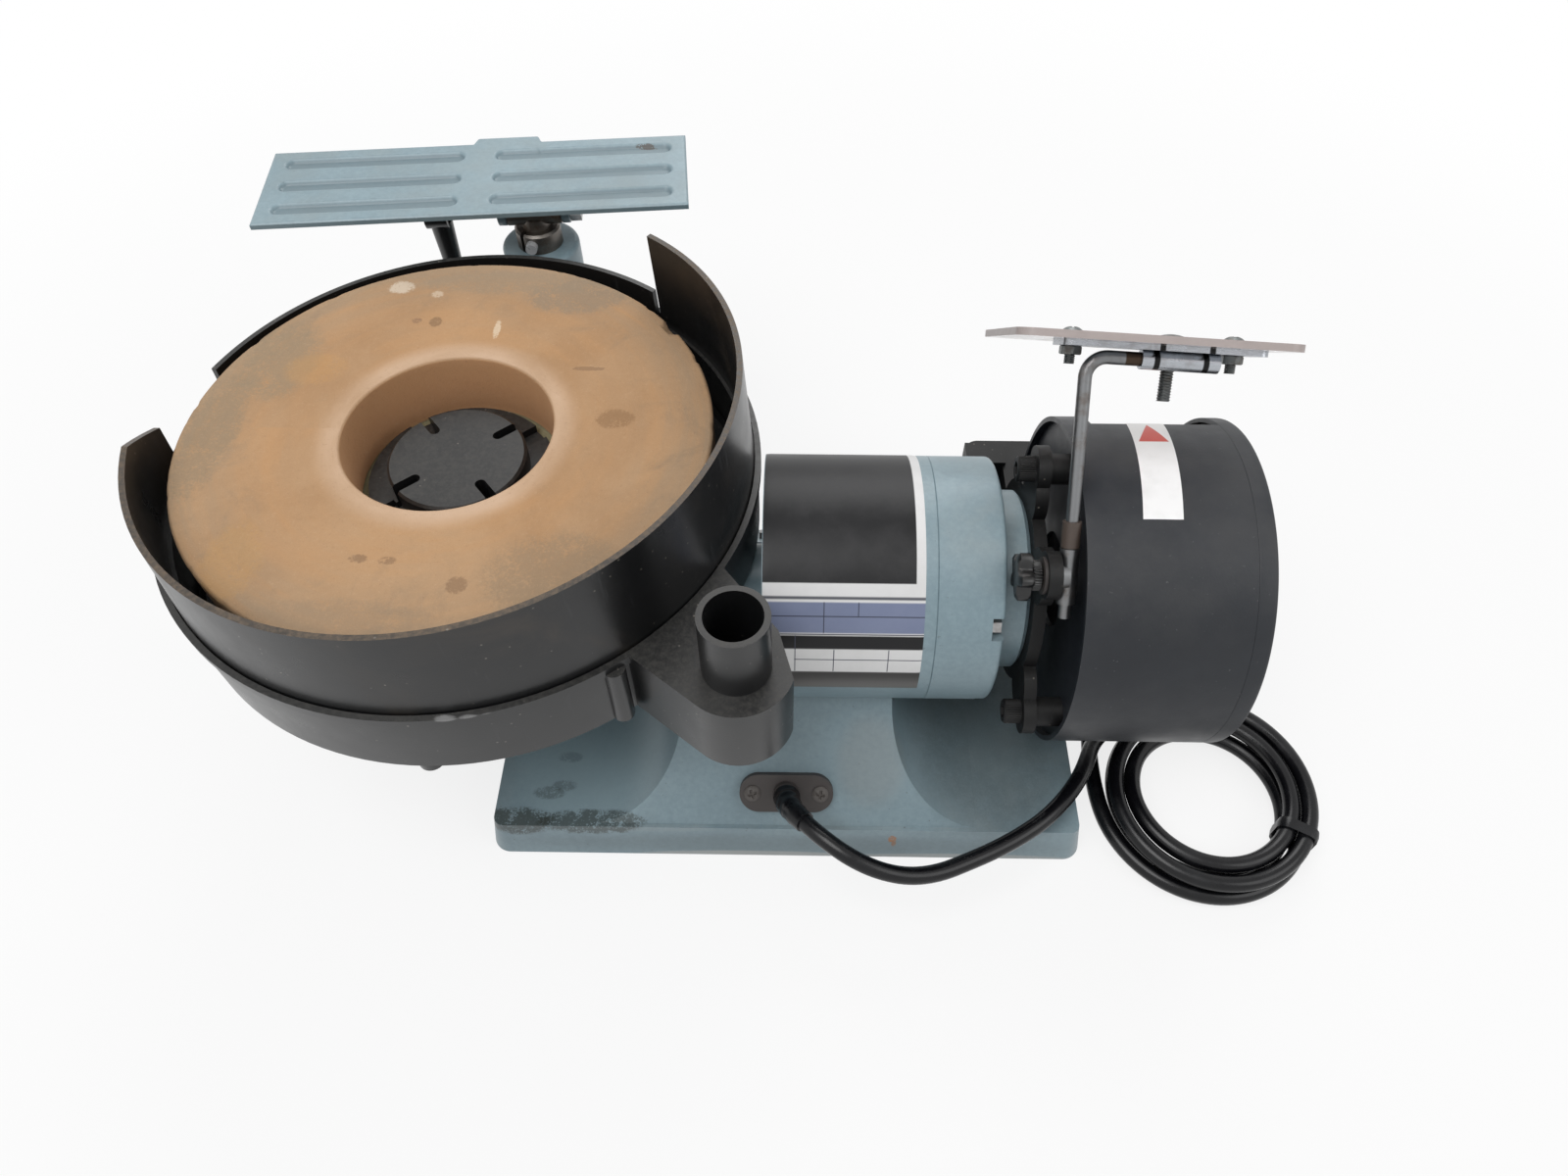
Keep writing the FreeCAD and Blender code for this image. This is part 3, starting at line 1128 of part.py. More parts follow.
def dry_rest():
    """Slotted tool rest under the spider's block, and its bolt."""
    left, right = S.bell_right + S.free_gap, SPIDER_RIGHT
    near = S.dry_rest_near
    rest = new_body("dry_rest")
    low = S.dry_rest_z - S.dry_rest_thick
    front = S.dry_wheel_r + S.dry_rest_gap
    table_right = S.dry_wheel_left + S.dry_wheel_thick + 5
    rest_far = front + S.dry_rest_depth
    clear_y, clear_x = S.guard_r + S.free_gap, WINDOW_LEFT + S.free_gap
    plan = chain([(left, near), (right + 4, near), (right + 4, clear_y), (clear_x, clear_y), (clear_x, front),
                  (table_right, front), (table_right, rest_far - 6, 6), (table_right - 6, rest_far),
                  (left + 6, rest_far, 6), (left, rest_far - 6)])
    pad(rest, "XY", [plan], low, S.dry_rest_z)
    bolt_x, bolt_y = (left + S.bell_boss_right) / 2, S.rest_block_near + S.rest_block_depth / 2
    half = S.dry_bolt_r + S.free_gap
    end_r = half + 0.01
    back = bolt_y - S.dry_rest_travel
    groove = chain([(bolt_x + half, back), (bolt_x + half, bolt_y, end_r), (bolt_x - half, bolt_y),
                    (bolt_x - half, back, end_r)])
    pocket(rest, "XY", [groove], low - 1, S.dry_rest_z + 1)
    bolt = new_body("dry_rest_bolt", (bolt_x, bolt_y, 0))
    washer_gap = 0.3
    pad(bolt, "XY", [circle(0, 0, S.dry_bolt_r)], low - washer_gap, S.dry_rest_z)
    pad(bolt, "XY", [hexagon(0, 0, 10)], low - 5, low - washer_gap)


def eye_shield():
    """Bent rod in a clamp sleeve, hinge strip, clear plate, its screws, and the clamp knob."""
    corner = (S.rod_x, S.shield_y, S.shield_z)
    turn = 90 + S.rod_bend.value
    tangent = S.rod_corner * math.tan(math.radians(turn / 2))
    slant = S.rod_bend
    bend_end = (tangent * cosine(slant), -tangent * sine(slant))
    arm_end = (S.rod_arm * cosine(slant), -S.rod_arm * sine(slant))
    rod = new_body("shield_rod", corner, ROD_TURN)
    section = add_sketch(rod, "XY", [circle(0, 0, S.rod_r)], -S.rod_length)
    bent = chain([(0, -S.rod_length), (0, -tangent, -S.rod_corner), bend_end, arm_end], False)
    spine = add_sketch(rod, "XZ", [bent])
    pipe = add_feature(rod, "AdditivePipe", section)
    pipe.Spine = (spine, ["Edge1", "Edge2", "Edge3"])
    sleeve_low, sleeve_high = -S.sleeve_drop - S.sleeve_length / 2, -S.sleeve_drop + S.sleeve_length / 2
    sleeve = new_body("clamp_sleeve", corner, ROD_TURN)
    pad(sleeve, "XY", [circle(0, 0, S.sleeve_r)], sleeve_low, sleeve_high)
    lug_left = SPIDER_RIGHT - S.rod_x
    pad(sleeve, "YZ", [circle(0, -S.sleeve_drop, 5)], lug_left, 0)
    pocket(sleeve, "XY", [circle(0, 0, S.rod_r + S.run_gap)], sleeve_low - 1, sleeve_high + 1)
    collar_low = sleeve_high + 0.3
    collar_high = collar_low + S.collar_length
    stop = ring_z("rod_collar", collar_low, collar_high, S.rod_r + S.run_gap, S.rod_r + 1, corner)
    place(stop, corner, ROD_TURN)

    clamp_y, clamp_z = sleeve_spot()
    clamp_axis = (0, clamp_y, clamp_z + S.motor_z)
    knob = new_body("clamp_knob", clamp_axis)
    knob_left, hub_right = S.bell_boss_right - S.knob_reach, S.bell_boss_right - 1.2
    pad(knob, "YZ", [circle(0, 0, S.knob_r)], knob_left, knob_left + 6)
    pad(knob, "YZ", [circle(0, 0, S.knob_r - 2.5)], knob_left + 5, hub_right)
    pad(knob, "YZ", [circle(0, 0, 3)], hub_right - 1, SPIDER_RIGHT)
    lobe = pad(knob, "YZ", [circle(S.knob_r - 1.2, 0, 2.8)], knob_left + 0.2, knob_left + 5.8)
    add_pattern(knob, lobe, 5, "X")
    ring_x("knob_washer", hub_right + 0.1, S.bell_boss_right, 3.2, S.knob_r - 1, clamp_axis)

    strip_low = S.rod_r + 0.8
    strip_top = strip_low + S.strip_thick
    tube_left, tube_right = S.hinge_left, S.hinge_left + S.hinge_length
    strip_right, strip_far = S.strip_left + S.strip_length, S.strip_near + S.strip_depth
    strip = new_body("shield_strip", corner, SHIELD_TURN)
    pad(strip, "XY", [round_rectangle(S.strip_left, S.strip_near, strip_right, strip_far, 3)],
        strip_low, strip_top)
    pad(strip, "YZ", [circle(0, 0, S.rod_r + 1)], tube_left, tube_right)
    for groove_left in (tube_left + S.hinge_groove, tube_right - S.hinge_groove):
        groove = rectangle(groove_left, S.rod_r + 0.5, groove_left + 1.6, strip_low)
        revolve(strip, "XZ", [groove], "H_Axis", "Groove", sweep=180)
    pocket(strip, "YZ", [circle(0, 0, S.rod_r + S.run_gap)], tube_left - 1, tube_right + 1)
    small_spots = [(u, S.shield_screw_v) for u in (S.shield_screw_left, S.shield_screw_right)]
    large_spot = (S.shield_screw_middle, S.shield_screw_v)
    holes = [circle(x, y, 2) for x, y in small_spots] + [circle(*large_spot, 2.5)]
    pocket(strip, "XY", holes, strip_low - 1, strip_top + 1)
    plate = new_body("shield_plate", corner, SHIELD_TURN)
    near = S.shield_near
    plate_top = strip_top + S.shield_thick
    right, far = S.shield_left + S.shield_length, near + S.shield_depth
    pad(plate, "XY", [round_rectangle(S.shield_left, near, right, far, 6)], strip_top, plate_top)
    pocket(plate, "XY", holes, strip_top - 1, plate_top + 1)
    screws = new_body("shield_screws", corner, SHIELD_TURN)
    head = plate_top + 2.4
    for x, y in small_spots:
        pad(screws, "XY", [circle(x, y, 1.9)], -3, plate_top)
        pad(screws, "XY", [circle(x, y, 3.9)], plate_top, head)
        pad(screws, "XY", [hexagon(x, y, 7)], strip_low - 3, strip_low)
    pad(screws, "XY", [circle(*large_spot, 2.4)], -S.hinge_screw_drop, plate_top)
    pad(screws, "XY", [circle(*large_spot, 5.8)], plate_top, head - 0.6)


def slope_place(side, up):
    """A frame on the pedestal's sloped face: side -1 is away from the operator. Its X runs along the face,
    its Z leaves the face, and up is the distance above the slope's foot along the face."""
    angle = math.radians(SLOPE_ANGLE)
    y = side * (S.slope_foot - up * math.cos(angle))
    z = S.plinth_height + up * math.sin(angle)
    turn = Rotation(Vector(1, 0, 0), SLOPE_ANGLE) if side < 0 else \
        Rotation(Vector(0, 0, 1), 180).multiply(Rotation(Vector(1, 0, 0), SLOPE_ANGLE))
    return (0, y, z), turn


def switch_pieces():
    """Rocker switch on the operator's side of the pedestal."""
    at, turn = slope_place(1, S.switch_up)
    half_x, half_y = S.switch_width / 2, S.switch_depth / 2
    bezel = 3
    rim = 3
    housing = new_body("switch_housing", at, turn)
    pad(housing, "XY", [round_rectangle(-half_x, -half_y, half_x, half_y, 3)], 0, bezel)
    pocket(housing, "XY", [rectangle(rim - half_x, rim - half_y, half_x - rim, half_y - rim)], 1, bezel + 1)
    pivot = bezel - 0.6
    angle = math.radians(SLOPE_ANGLE)
    centre = (0, at[1] + pivot * math.sin(angle), at[2] + pivot * math.cos(angle))
    rocker = new_body("switch_rocker", centre, turn.multiply(Rotation(Vector(0, 1, 0), S.rocker_tilt.value)))
    side, end = half_x - rim - S.free_gap, half_y - rim - S.free_gap
    high, dip, keel = 2.8, 1.8, -1.3
    profile = chain([(-side, 0.2), (0, keel), (side, 0.2), (side, high), (0, dip), (-side, high)])
    pad(rocker, "XZ", [profile], -end, end)


def cord_pieces():
    """Oval cord plate with a short gland and two screws, the free cord, its coil with a tie, and the plug."""
    at, turn = slope_place(-1, S.cord_plate_up)
    plate = new_body("cord_plate", at, turn)
    half = S.cord_plate_length / 2
    pad(plate, "XY", [slot(-half, half, 0, S.cord_plate_width)], 0, S.cord_plate_thick)
    gland = S.cord_plate_thick + 4
    pad(plate, "XY", [circle(0, 0, S.cord_r + 2)], S.cord_plate_thick - 1, gland)
    pocket(plate, "XY", [circle(0, 0, S.cord_r + S.seat_gap)], S.cord_plate_thick - 2, gland + 1)
    start = Placement(Vector(*(as_size(c).value for c in at)), turn)
    screws = new_body("base_screws")
    spots = foot_screw_spots()
    shank_top = S.plinth_height - S.casting_wall - 2
    pad(screws, "XY", [circle(x, y, S.foot_screw_r) for x, y in spots], S.plate_thick / 2 - 0.2, shank_top)
    pad(screws, "XY", [circle(x, y, S.foot_head_r) for x, y in spots], 0.2, S.plate_thick / 2)
    face = start.multiply(Placement(Vector(0, 0, S.cord_plate_thick.value), Rotation()))
    pad(screws, "XY", [circle(side * half * 0.72, 0, 3.4) for side in (-1, 1)], 0, 1.6, tilt=face)
    exit_point = start.multVec(Vector(0, 0, S.cord_plate_thick.value - 2))
    mouth = start.multVec(Vector(0, 0, gland.value + 7.4))

    radius = S.cord_r.value
    coil_points = coil_path()
    first, last = coil_points[0], coil_points[-1]
    heading = math.radians(S.coil_start.value - 90)
    before = first - Vector(math.cos(heading), math.sin(heading), 0) * S.coil_lead.value
    route = [exit_point, mouth, Vector(6.9, -91.1, 47.1), Vector(15.8, -99.8, 48.7),
             Vector(26.2, -106.5, 46.8), Vector(37.7, -110, 42.6), Vector(50.1, -110.1, 37.6),
             Vector(62.6, -107, 34.2), Vector(75.4, -101.2, 33), Vector(85.5, -96.5, 32.5),
             Vector(96.5, -90.6, 32.6), Vector(109, -82.2, 32.6), Vector(121.1, -69.6, 31),
             Vector(131, -54.8, 25.2), before, first]
    keep_shape("power_cord", cord_tube("power_cord", route, radius))
    keep_shape("cord_coil", coil_tube(coil_points, radius))

    after = last + Vector(0, 1, 0) * 19
    plug_x, plug_y, plug_z = S.plug_x.value, S.plug_y.value, S.plug_z.value
    tail = [last, after, Vector(142.5, -21, 4.4), Vector(147, -1, 4), Vector(151.5, 20, 5.2),
            Vector(plug_x, plug_y - 3, plug_z), Vector(plug_x, plug_y + S.plug_hole.value, plug_z)]
    keep_shape("cord_tail", cord_tube("cord_tail", tail, radius))
    plug = new_body("plug_body", (S.plug_x, S.plug_y, S.plug_z))
    neck, front = S.cord_r + 1.5, S.plug_width / 2
    waist, shoulder = front - 2, S.plug_length / 3
    outline = chain([(-neck, 0), (neck, 0), (waist, shoulder, 40), (front, S.plug_length),
                     (-front, S.plug_length), (-waist, shoulder, 40)])
    pad(plug, "XY", [outline], -S.plug_height / 2, S.plug_height / 2)
    pocket(plug, "XZ", [circle(0, 0, S.cord_r + S.seat_gap)], -S.plug_hole, 1)
    blades = new_body("plug_blades", (S.plug_x, S.plug_y + S.plug_length, S.plug_z))
    for x in (-S.blade_spot, S.blade_spot):
        pad(blades, "XZ", [rectangle(x - 0.75, -3.2, x + 0.75, 3.2)], -S.blade_length, 0)
    pad(blades, "XZ", [circle(0, -0.5, 2.4)], -S.pin_length, 0)
    tie_piece()


def arc_edge(start, corner, stop):
    """Round edge from start to stop that leaves and arrives along the two lines to the corner."""
    reach = (corner - start).Length
    weight = min((stop - start).Length / (2 * reach), 1.0)
    middle = (start + stop + corner * (2 * weight)) * (1 / (2 + 2 * weight))
    return Part.Arc(start, middle, stop).toShape()


def cord_tube(label, route, radius):
    """Tube along straight runs with a tangent arc at each point; prints the arcs' radii."""
    edges = []
    radii = []
    place_now = route[0]
    for a, b, c in zip(route, route[1:], route[2:]):
        inward, outward = (b - a).normalize(), (c - b).normalize()
        turn = inward.getAngle(outward)
        cut = 0.45 * min((b - a).Length, (c - b).Length)
        radii.append(cut / math.tan(turn / 2))
        start, stop = b - inward * cut, b + outward * cut
        edges.append(Part.LineSegment(place_now, start).toShape())
        edges.append(arc_edge(start, b, stop))
        place_now = stop
    edges.append(Part.LineSegment(place_now, route[-1]).toShape())
    tube = sweep_round(Part.Wire(edges), radius)
    length = sum(edge.Length for edge in edges)
    ratio = tube.Volume / (math.pi * radius ** 2 * length)
    print(f"{label}: length {length:.0f} mm, radii {[round(r) for r in radii]}, volume ratio {ratio:.4f}")
    return tube


def sweep_round(path, radius):
    """Round tube along a wire."""
    edge = path.Edges[0]
    start = edge.valueAt(edge.FirstParameter)
    tangent = edge.tangentAt(edge.FirstParameter)
    profile = Part.Wire([Part.makeCircle(radius, start, tangent)])
    shell = Part.BRepOffsetAPI.MakePipeShell(path)
    shell.add(profile)
    shell.build()
    shell.makeSolid()
    return shell.shape()


def coil_sweep():
    """Degrees that the coil turns through, from where the cord joins it to its left side."""
    return 360 * S.coil_turns.value - (180 - S.coil_start.value)


def coil_place(angle):
    """Point of the coil after it has turned by the angle: it spirals in for half of its sweep and out again
    at the same rate, and drops a layer in the half turn where it reverses."""
    half = coil_sweep() / 2
    inward = half - abs(angle - half)
    radius = S.coil_r.value - S.coil_pitch.value * inward / 360
    share = min(max((angle - half + 90) / 180, 0), 1)
    low = S.tie_thick.value + S.free_gap.value + S.cord_r.value
    z = low + S.coil_pitch.value * (1 - share + math.sin(2 * math.pi * share) / (2 * math.pi))
    bearing_angle = math.radians(S.coil_start.value - angle)
    return Vector(S.coil_x.value + radius * math.cos(bearing_angle),
                  S.coil_y.value + radius * math.sin(bearing_angle), z)


def coil_path():
    """Points of the coil at each quarter turn. It ends on its left side, heading towards the operator."""
    steps = 4 * int(S.coil_turns.value)
    return [coil_place(coil_sweep() * k / steps) for k in range(steps + 1)]


def coil_heading(angle):
    """Direction of the coil after it has turned by the angle; both ends lie level and square."""
    bearing_angle = math.radians(S.coil_start.value - angle - 90)
    if angle in (0, coil_sweep()):
        return Vector(math.cos(bearing_angle), math.sin(bearing_angle), 0)
    small = 0.01
    return (coil_place(angle + small) - coil_place(angle - small)).normalize()


def coil_tube(points, radius):
    """One unbroken tube on two arcs per quarter turn; prints its least gap to itself."""
    steps = len(points) - 1
    headings = [coil_heading(coil_sweep() * k / steps) for k in range(steps + 1)]
    edges = []
    for k in range(steps):
        edges.extend(two_arcs(points[k], headings[k], points[k + 1], headings[k + 1]))
    tube = sweep_round(Part.Wire(edges), radius)
    length = sum(edge.Length for edge in edges)
    print(f"cord_coil: length {length:.0f} mm, least gap {least_gap(edges, radius):.2f} mm, "
          f"volume ratio {tube.Volume / (math.pi * radius ** 2 * length):.4f}")
    return tube


def two_arcs(a, heading_a, b, heading_b):
    """Two arcs that join a to b, tangent to both headings and to each other."""
    chord = b - a
    both = heading_a + heading_b
    spread = 2 * (1 - heading_a.dot(heading_b))
    dot = chord.dot(both)
    reach = (-dot + math.sqrt(dot ** 2 + spread * chord.dot(chord))) / spread
    corner_a, corner_b = a + heading_a * reach, b - heading_b * reach
    joint = (corner_a + corner_b) * 0.5
    return [arc_edge(a, corner_a, joint), arc_edge(joint, corner_b, b)]


def least_gap(edges, radius):
    """Least clear distance between stretches of the tube more than a third of a turn apart."""
    points = []
    travelled = 0
    for edge in edges:
        for k in range(12):
            share = edge.FirstParameter + (edge.LastParameter - edge.FirstParameter) * k / 12
            points.append((travelled + edge.Length * k / 12, edge.valueAt(share)))
        travelled += edge.Length
    apart = 8 * radius
    gaps = [(p - q).Length for i, (s, p) in enumerate(points) for t, q in points[i + 1:] if t - s > apart]
    return min(gaps) - 2 * radius


def tie_piece():
    """Flat strap closed round the coil's strands."""
    angle = -28
    inner_r = S.coil_r - S.coil_pitch * (coil_sweep() / 720) - S.cord_r - 1
    outer_r = S.coil_r - S.coil_pitch * ((S.coil_start - angle) / 360) + S.cord_r + 0.5
    low = S.tie_thick
    high = S.tie_thick + 2 * S.free_gap + 2 * S.cord_r + S.coil_pitch
    turn = Rotation(Vector(0, 0, 1), angle)
    tie = new_body("coil_tie", (S.coil_x, S.coil_y, 0), turn)
    thick = S.tie_thick
    pad(tie, "XZ", [rectangle(inner_r - thick, 0.02, outer_r + thick, high + thick),
                    rectangle(inner_r, low, outer_r, high)], -S.tie_width / 2, S.tie_width / 2)


def capacitor():
    """Run capacitor that lies on the bottom plate."""
    half = S.capacitor_length / 2
    turned_x("capacitor", [(-half, 0), (half, 0), (half, S.capacitor_r - 2), (half - 2, S.capacitor_r),
                           (2 - half, S.capacitor_r), (-half, S.capacitor_r - 2)],
             (0, 0, S.plate_thick + S.capacitor_r + S.seat_gap))


base_casting()
bottom_plate()
motor_pieces()
gear_housing()
gear_covers()
bearings()
rotor_pieces()
wheel_pieces()
tray()
splash_pieces()
tool_rest()
guard_pieces()
dry_rest()
eye_shield()
switch_pieces()
cord_pieces()
capacitor()
doc.recompute()

faults = [f"{part.Name}: {part.State}" for part in doc.Objects if {"Invalid", "Error"} & set(part.State)]
faults += [f"{node.Label}: shape" for node in NODES if node.Shape.isNull() or not node.Shape.isValid()]
if faults:
    raise RuntimeError("; ".join(faults))
os.makedirs("parts", exist_ok=True)
for node in NODES:
    node.Shape.exportStep(f"parts/{node.Label}.step")
    print(node.Label, len(node.Shape.Solids), round(node.Shape.Volume))
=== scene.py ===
import math

import bmesh
import bpy
import numpy as np
from mathutils import Matrix, Vector


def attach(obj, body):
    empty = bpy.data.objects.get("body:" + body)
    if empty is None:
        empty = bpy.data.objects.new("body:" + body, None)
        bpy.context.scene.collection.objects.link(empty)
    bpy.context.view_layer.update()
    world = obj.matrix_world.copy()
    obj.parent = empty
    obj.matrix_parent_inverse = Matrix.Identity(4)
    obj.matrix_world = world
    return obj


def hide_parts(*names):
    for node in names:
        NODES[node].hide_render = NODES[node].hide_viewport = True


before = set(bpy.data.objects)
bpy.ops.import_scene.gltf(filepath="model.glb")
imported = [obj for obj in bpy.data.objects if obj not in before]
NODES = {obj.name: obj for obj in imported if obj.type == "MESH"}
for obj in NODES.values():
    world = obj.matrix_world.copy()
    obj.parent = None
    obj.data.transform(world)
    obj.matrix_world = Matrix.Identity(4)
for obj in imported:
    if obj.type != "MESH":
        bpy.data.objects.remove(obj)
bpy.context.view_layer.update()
MM = 0.001

# Places, radii and turns of the machine, in millimetres and in the frame of its solids.
WHEEL = (-130.5, 17.0)
STONE_TOP = 158.0
STONE_R = 101.5
RECESS_R = 40.05
RECESS_FLOOR = 129.2
MOTOR_Z = 90.6
MOTOR_R = 50.7
SPIDER_LEFT = 94.0
GUARD_R = 67.4
GUARD_END = 175.25
REST_PIVOT = (-119.0, 157.0, 159.0)
REST_TURN = math.radians(5.5)
TABLE_UP = 11.0
SHIELD_HINGE = np.array([102.6, 15.1, 198.9])
ROD_LEAN = math.radians(37.5)
ROD_BEND = math.radians(3.0)
SHIELD_TILT = math.radians(3.4)
CLAMP_DROP = 79.0
SLOPE = math.atan2(46.0, 44.0)
SLOPE_FOOT = np.array([0, -81.0, 20.0])
PLATE_UP = 15.5
PLATE_THICK = 3.5
CORD_R = 3.6
COIL_MIDDLE = np.array([187.5, -59.0])
COIL_START = 124.0
TIE = math.radians(-28)
BOLT_ANGLES = (30, 150, 210, 330)
UP = (0, 0, 1)
WHITE = (1, 1, 1, 1)


class Wire:
    """A shader value. Arithmetic on it adds Math nodes to its tree."""

    def __init__(self, nodes, socket):
        self.nodes = nodes
        self.socket = socket

    def math(self, operation, *values):
        """Adds a Math node."""
        return self.nodes.node("ShaderNodeMath", {"operation": operation}, values)

    def __add__(self, other):
        return self.math("ADD", self, other)

    def __radd__(self, other):
        return self.math("ADD", other, self)

    def __sub__(self, other):
        return self.math("SUBTRACT", self, other)

    def __rsub__(self, other):
        return self.math("SUBTRACT", other, self)

    def __mul__(self, other):
        return self.math("MULTIPLY", self, other)

    def __rmul__(self, other):
        return self.math("MULTIPLY", other, self)

    def __pow__(self, other):
        return self.math("POWER", self, other)

    def size(self):
        return self.math("ABSOLUTE", self)

    def least(self, other):
        return self.math("MINIMUM", self, other)

    def most(self, other):
        return self.math("MAXIMUM", self, other)

    def rise(self, low, high):
        """0 below low, 1 above high, smooth between; low above high turns it round."""
        return self.nodes.node("ShaderNodeMapRange", {"interpolation_type": "SMOOTHSTEP"},
                               {"Value": self, "From Min": low, "From Max": high})


class NodeTree:
    """A node tree, and the one way in which a node is added to it."""

    def __init__(self, tree):
        self.tree = tree

    def node(self, kind, settings=None, inputs=(), output=0):
        """Adds a node: its settings first, then the values or links of its sockets."""
        made = self.tree.nodes.new(kind)
        for key, value in (settings or {}).items():
            setattr(made, key, value)
        pairs = inputs.items() if isinstance(inputs, dict) else enumerate(inputs)
        for key, value in pairs:
            if isinstance(value, Wire):
                self.tree.links.new(value.socket, made.inputs[key])
            else:
                made.inputs[key].default_value = value
        return Wire(self, made.outputs[output])

    def feed(self, wire, name, socket):
        """Links a value to a socket of a node that the tree has from the start."""
        self.tree.links.new(wire.socket, self.tree.nodes[name].inputs[socket])

    def seen(self):
        """1 for rays from the camera, a mirror or clear sheet, and 0 for light that falls on the object."""
        camera, gloss, clear = (self.node("ShaderNodeLightPath", output=f"Is {kind} Ray")
                                for kind in ("Camera", "Glossy", "Transmission"))
        return camera.most(gloss).most(clear)


class Finish(NodeTree):
    """One material: a Principled shader and the nodes that feed it, on Object coordinates."""

    def __init__(self, name, color=(0.5, 0.5, 0.5), roughness=0.5, **constants):
        self.material = bpy.data.materials.new(name)
        self.material.use_nodes = True
        super().__init__(self.material.node_tree)
        self.shader = self.tree.nodes["Principled BSDF"]
        self.shader.inputs["Base Color"].default_value = (*color, 1)
        self.shader.inputs["Roughness"].default_value = roughness
        for socket, value in constants.items():
            self.shader.inputs[socket.replace("_", " ")].default_value = value
        self.color = None
        self.place = self.node("ShaderNodeTexCoord", output="Object")
        self.x, self.y, self.z = self.axes(self.place)

    def axes(self, vector):
        """The three parts of a vector."""
        return [self.node("ShaderNodeSeparateXYZ", {}, (vector,), axis) for axis in "XYZ"]

    def noise(self, scale, detail=4.0, rough=0.55, where=None, distort=0.0):
        """Noise from 0 to 1; scale counts blobs per metre."""
        inputs = {"Vector": where or self.place, "Scale": scale, "Detail": detail, "Roughness": rough,
                  "Distortion": distort}
        return self.node("ShaderNodeTexNoise", {}, inputs, "Fac")

    def cells(self, scale):
        """Distance to the nearest of scattered points."""
        return self.node("ShaderNodeTexVoronoi", {}, {"Vector": self.place, "Scale": scale}, "Distance")

    def point(self, x, y, z):
        """A vector from its three parts."""
        return self.node("ShaderNodeCombineXYZ", {}, (x, y, z))

    def mix(self, share, first, second):
        """Colour between two colours."""
        first, second = ((*c, 1) if isinstance(c, tuple) else c for c in (first, second))
        return self.node("ShaderNodeMix", {"data_type": "RGBA"}, {0: share, 6: first, 7: second}, 2)

    def coat(self, share, tint):
        """Lays a colour over what is there by a share."""
        self.color = self.mix(share, self.color, tint)

    def near(self, spot, reach):
        """1 at a spot, falling to 0 at its reach along x, y and z, all in millimetres."""
        gaps = [((axis - at * MM) * (1 / (far * MM))) ** 2
                for axis, at, far in zip((self.x, self.y, self.z), spot, reach)]
        return (gaps[0] + gaps[1] + gaps[2]).rise(1.0, 0.0)

    def facing(self, axis):
        """How far the surface faces along a direction of the piece's own frame."""
        normal = self.node("ShaderNodeTexCoord", output="Normal")
        return self.node("ShaderNodeVectorMath", {"operation": "DOT_PRODUCT"}, (normal, tuple(axis)), "Value")

    def marks(self, spots, grain=190, torn=1.5):
        """Lays blots over the colour, each with a place, a reach, a tint, a share and how soft its edge is;
        noise makes the edge ragged, the more the higher torn is."""
        ragged = (self.noise(grain, 4, 0.7) + self.noise(grain * 6, 3, 0.7) - 1) * torn + 1
        for spot, reach, tint, share, soft in spots:
            blot = self.near(spot, reach) * ragged
            self.coat(blot.rise(0.5 - soft, 0.5 + soft) * share, tint)

    def set(self, roughness=None, height=None, depth=0.0, strength=0.0):
        """Links the colour and whatever else varies to the shader; height goes through a Bump node."""
        feeds = {"Base Color": self.color, "Roughness": roughness}
        if height is not None:
            bump = {"Height": height, "Distance": depth, "Strength": strength}
            feeds["Normal"] = self.node("ShaderNodeBump", {}, bump)
        for socket, wire in feeds.items():
            if wire is not None:
                self.feed(wire, "Principled BSDF", socket)
        return self.material

    def cover(self, share, other):
        """Lays another shader over the Principled one by a share."""
        own = Wire(self, self.shader.outputs["BSDF"])
        self.feed(self.node("ShaderNodeMixShader", {}, (share, own, other)), "Material Output", "Surface")
        return self.material


def enamel(name, grime=0.3, spots=(), tone=1.0, groove=None, painted_light_and_shade=()):
    """Blue-grey enamel: soft mottling, fine speckle, orange-peel bump, thin dust on level faces, dull smears,
    broad patches of painted shade and painted light, spots of rust and grime, and painted shade: a darker
    tone in pressed grooves below a level."""
    f = Finish(name, roughness=0.4)
    cloud = f.noise(11, 5, 0.6)
    fine = f.noise(420, 3, 0.7)
    dark, light = (tuple(tone * c for c in shade) for shade in ((0.182, 0.255, 0.289), (0.236, 0.322, 0.36)))
    f.color = f.mix((cloud * 0.6 + fine * 0.4).rise(0.34, 0.66), dark, light)
    dust = f.facing(UP).rise(0.6, 0.98) * f.noise(30, 5, 0.62).rise(0.38, 0.72) * 0.35
    f.coat(dust, (0.27, 0.29, 0.28))
    smear = f.noise(46, 6, 0.68, distort=0.8).rise(0.52, 0.82) * grime
    f.coat(smear, (0.125, 0.135, 0.125))
    f.coat(f.noise(560, 2).rise(0.71, 0.78) * (0.25 + grime), (0.075, 0.08, 0.075))
    # Painted shade: faces below the level, the pressed grooves among them, take a darker tone.
    if groove:
        sunk = f.z.rise(groove, groove - 0.0012)
        f.coat(sunk * 0.6, tuple(0.55 * c for c in dark))
    # Broad, smooth patches of painted shade and painted light.
    f.marks(painted_light_and_shade, torn=0.5)
    f.marks(spots, torn=4)
    rough = 0.36 + smear * 0.3 + dust * 0.4 + (fine - 0.5) * 0.14
    return f.set(rough, height=f.noise(900, 2) * 0.5 + fine * 0.5, depth=0.0001, strength=0.3)


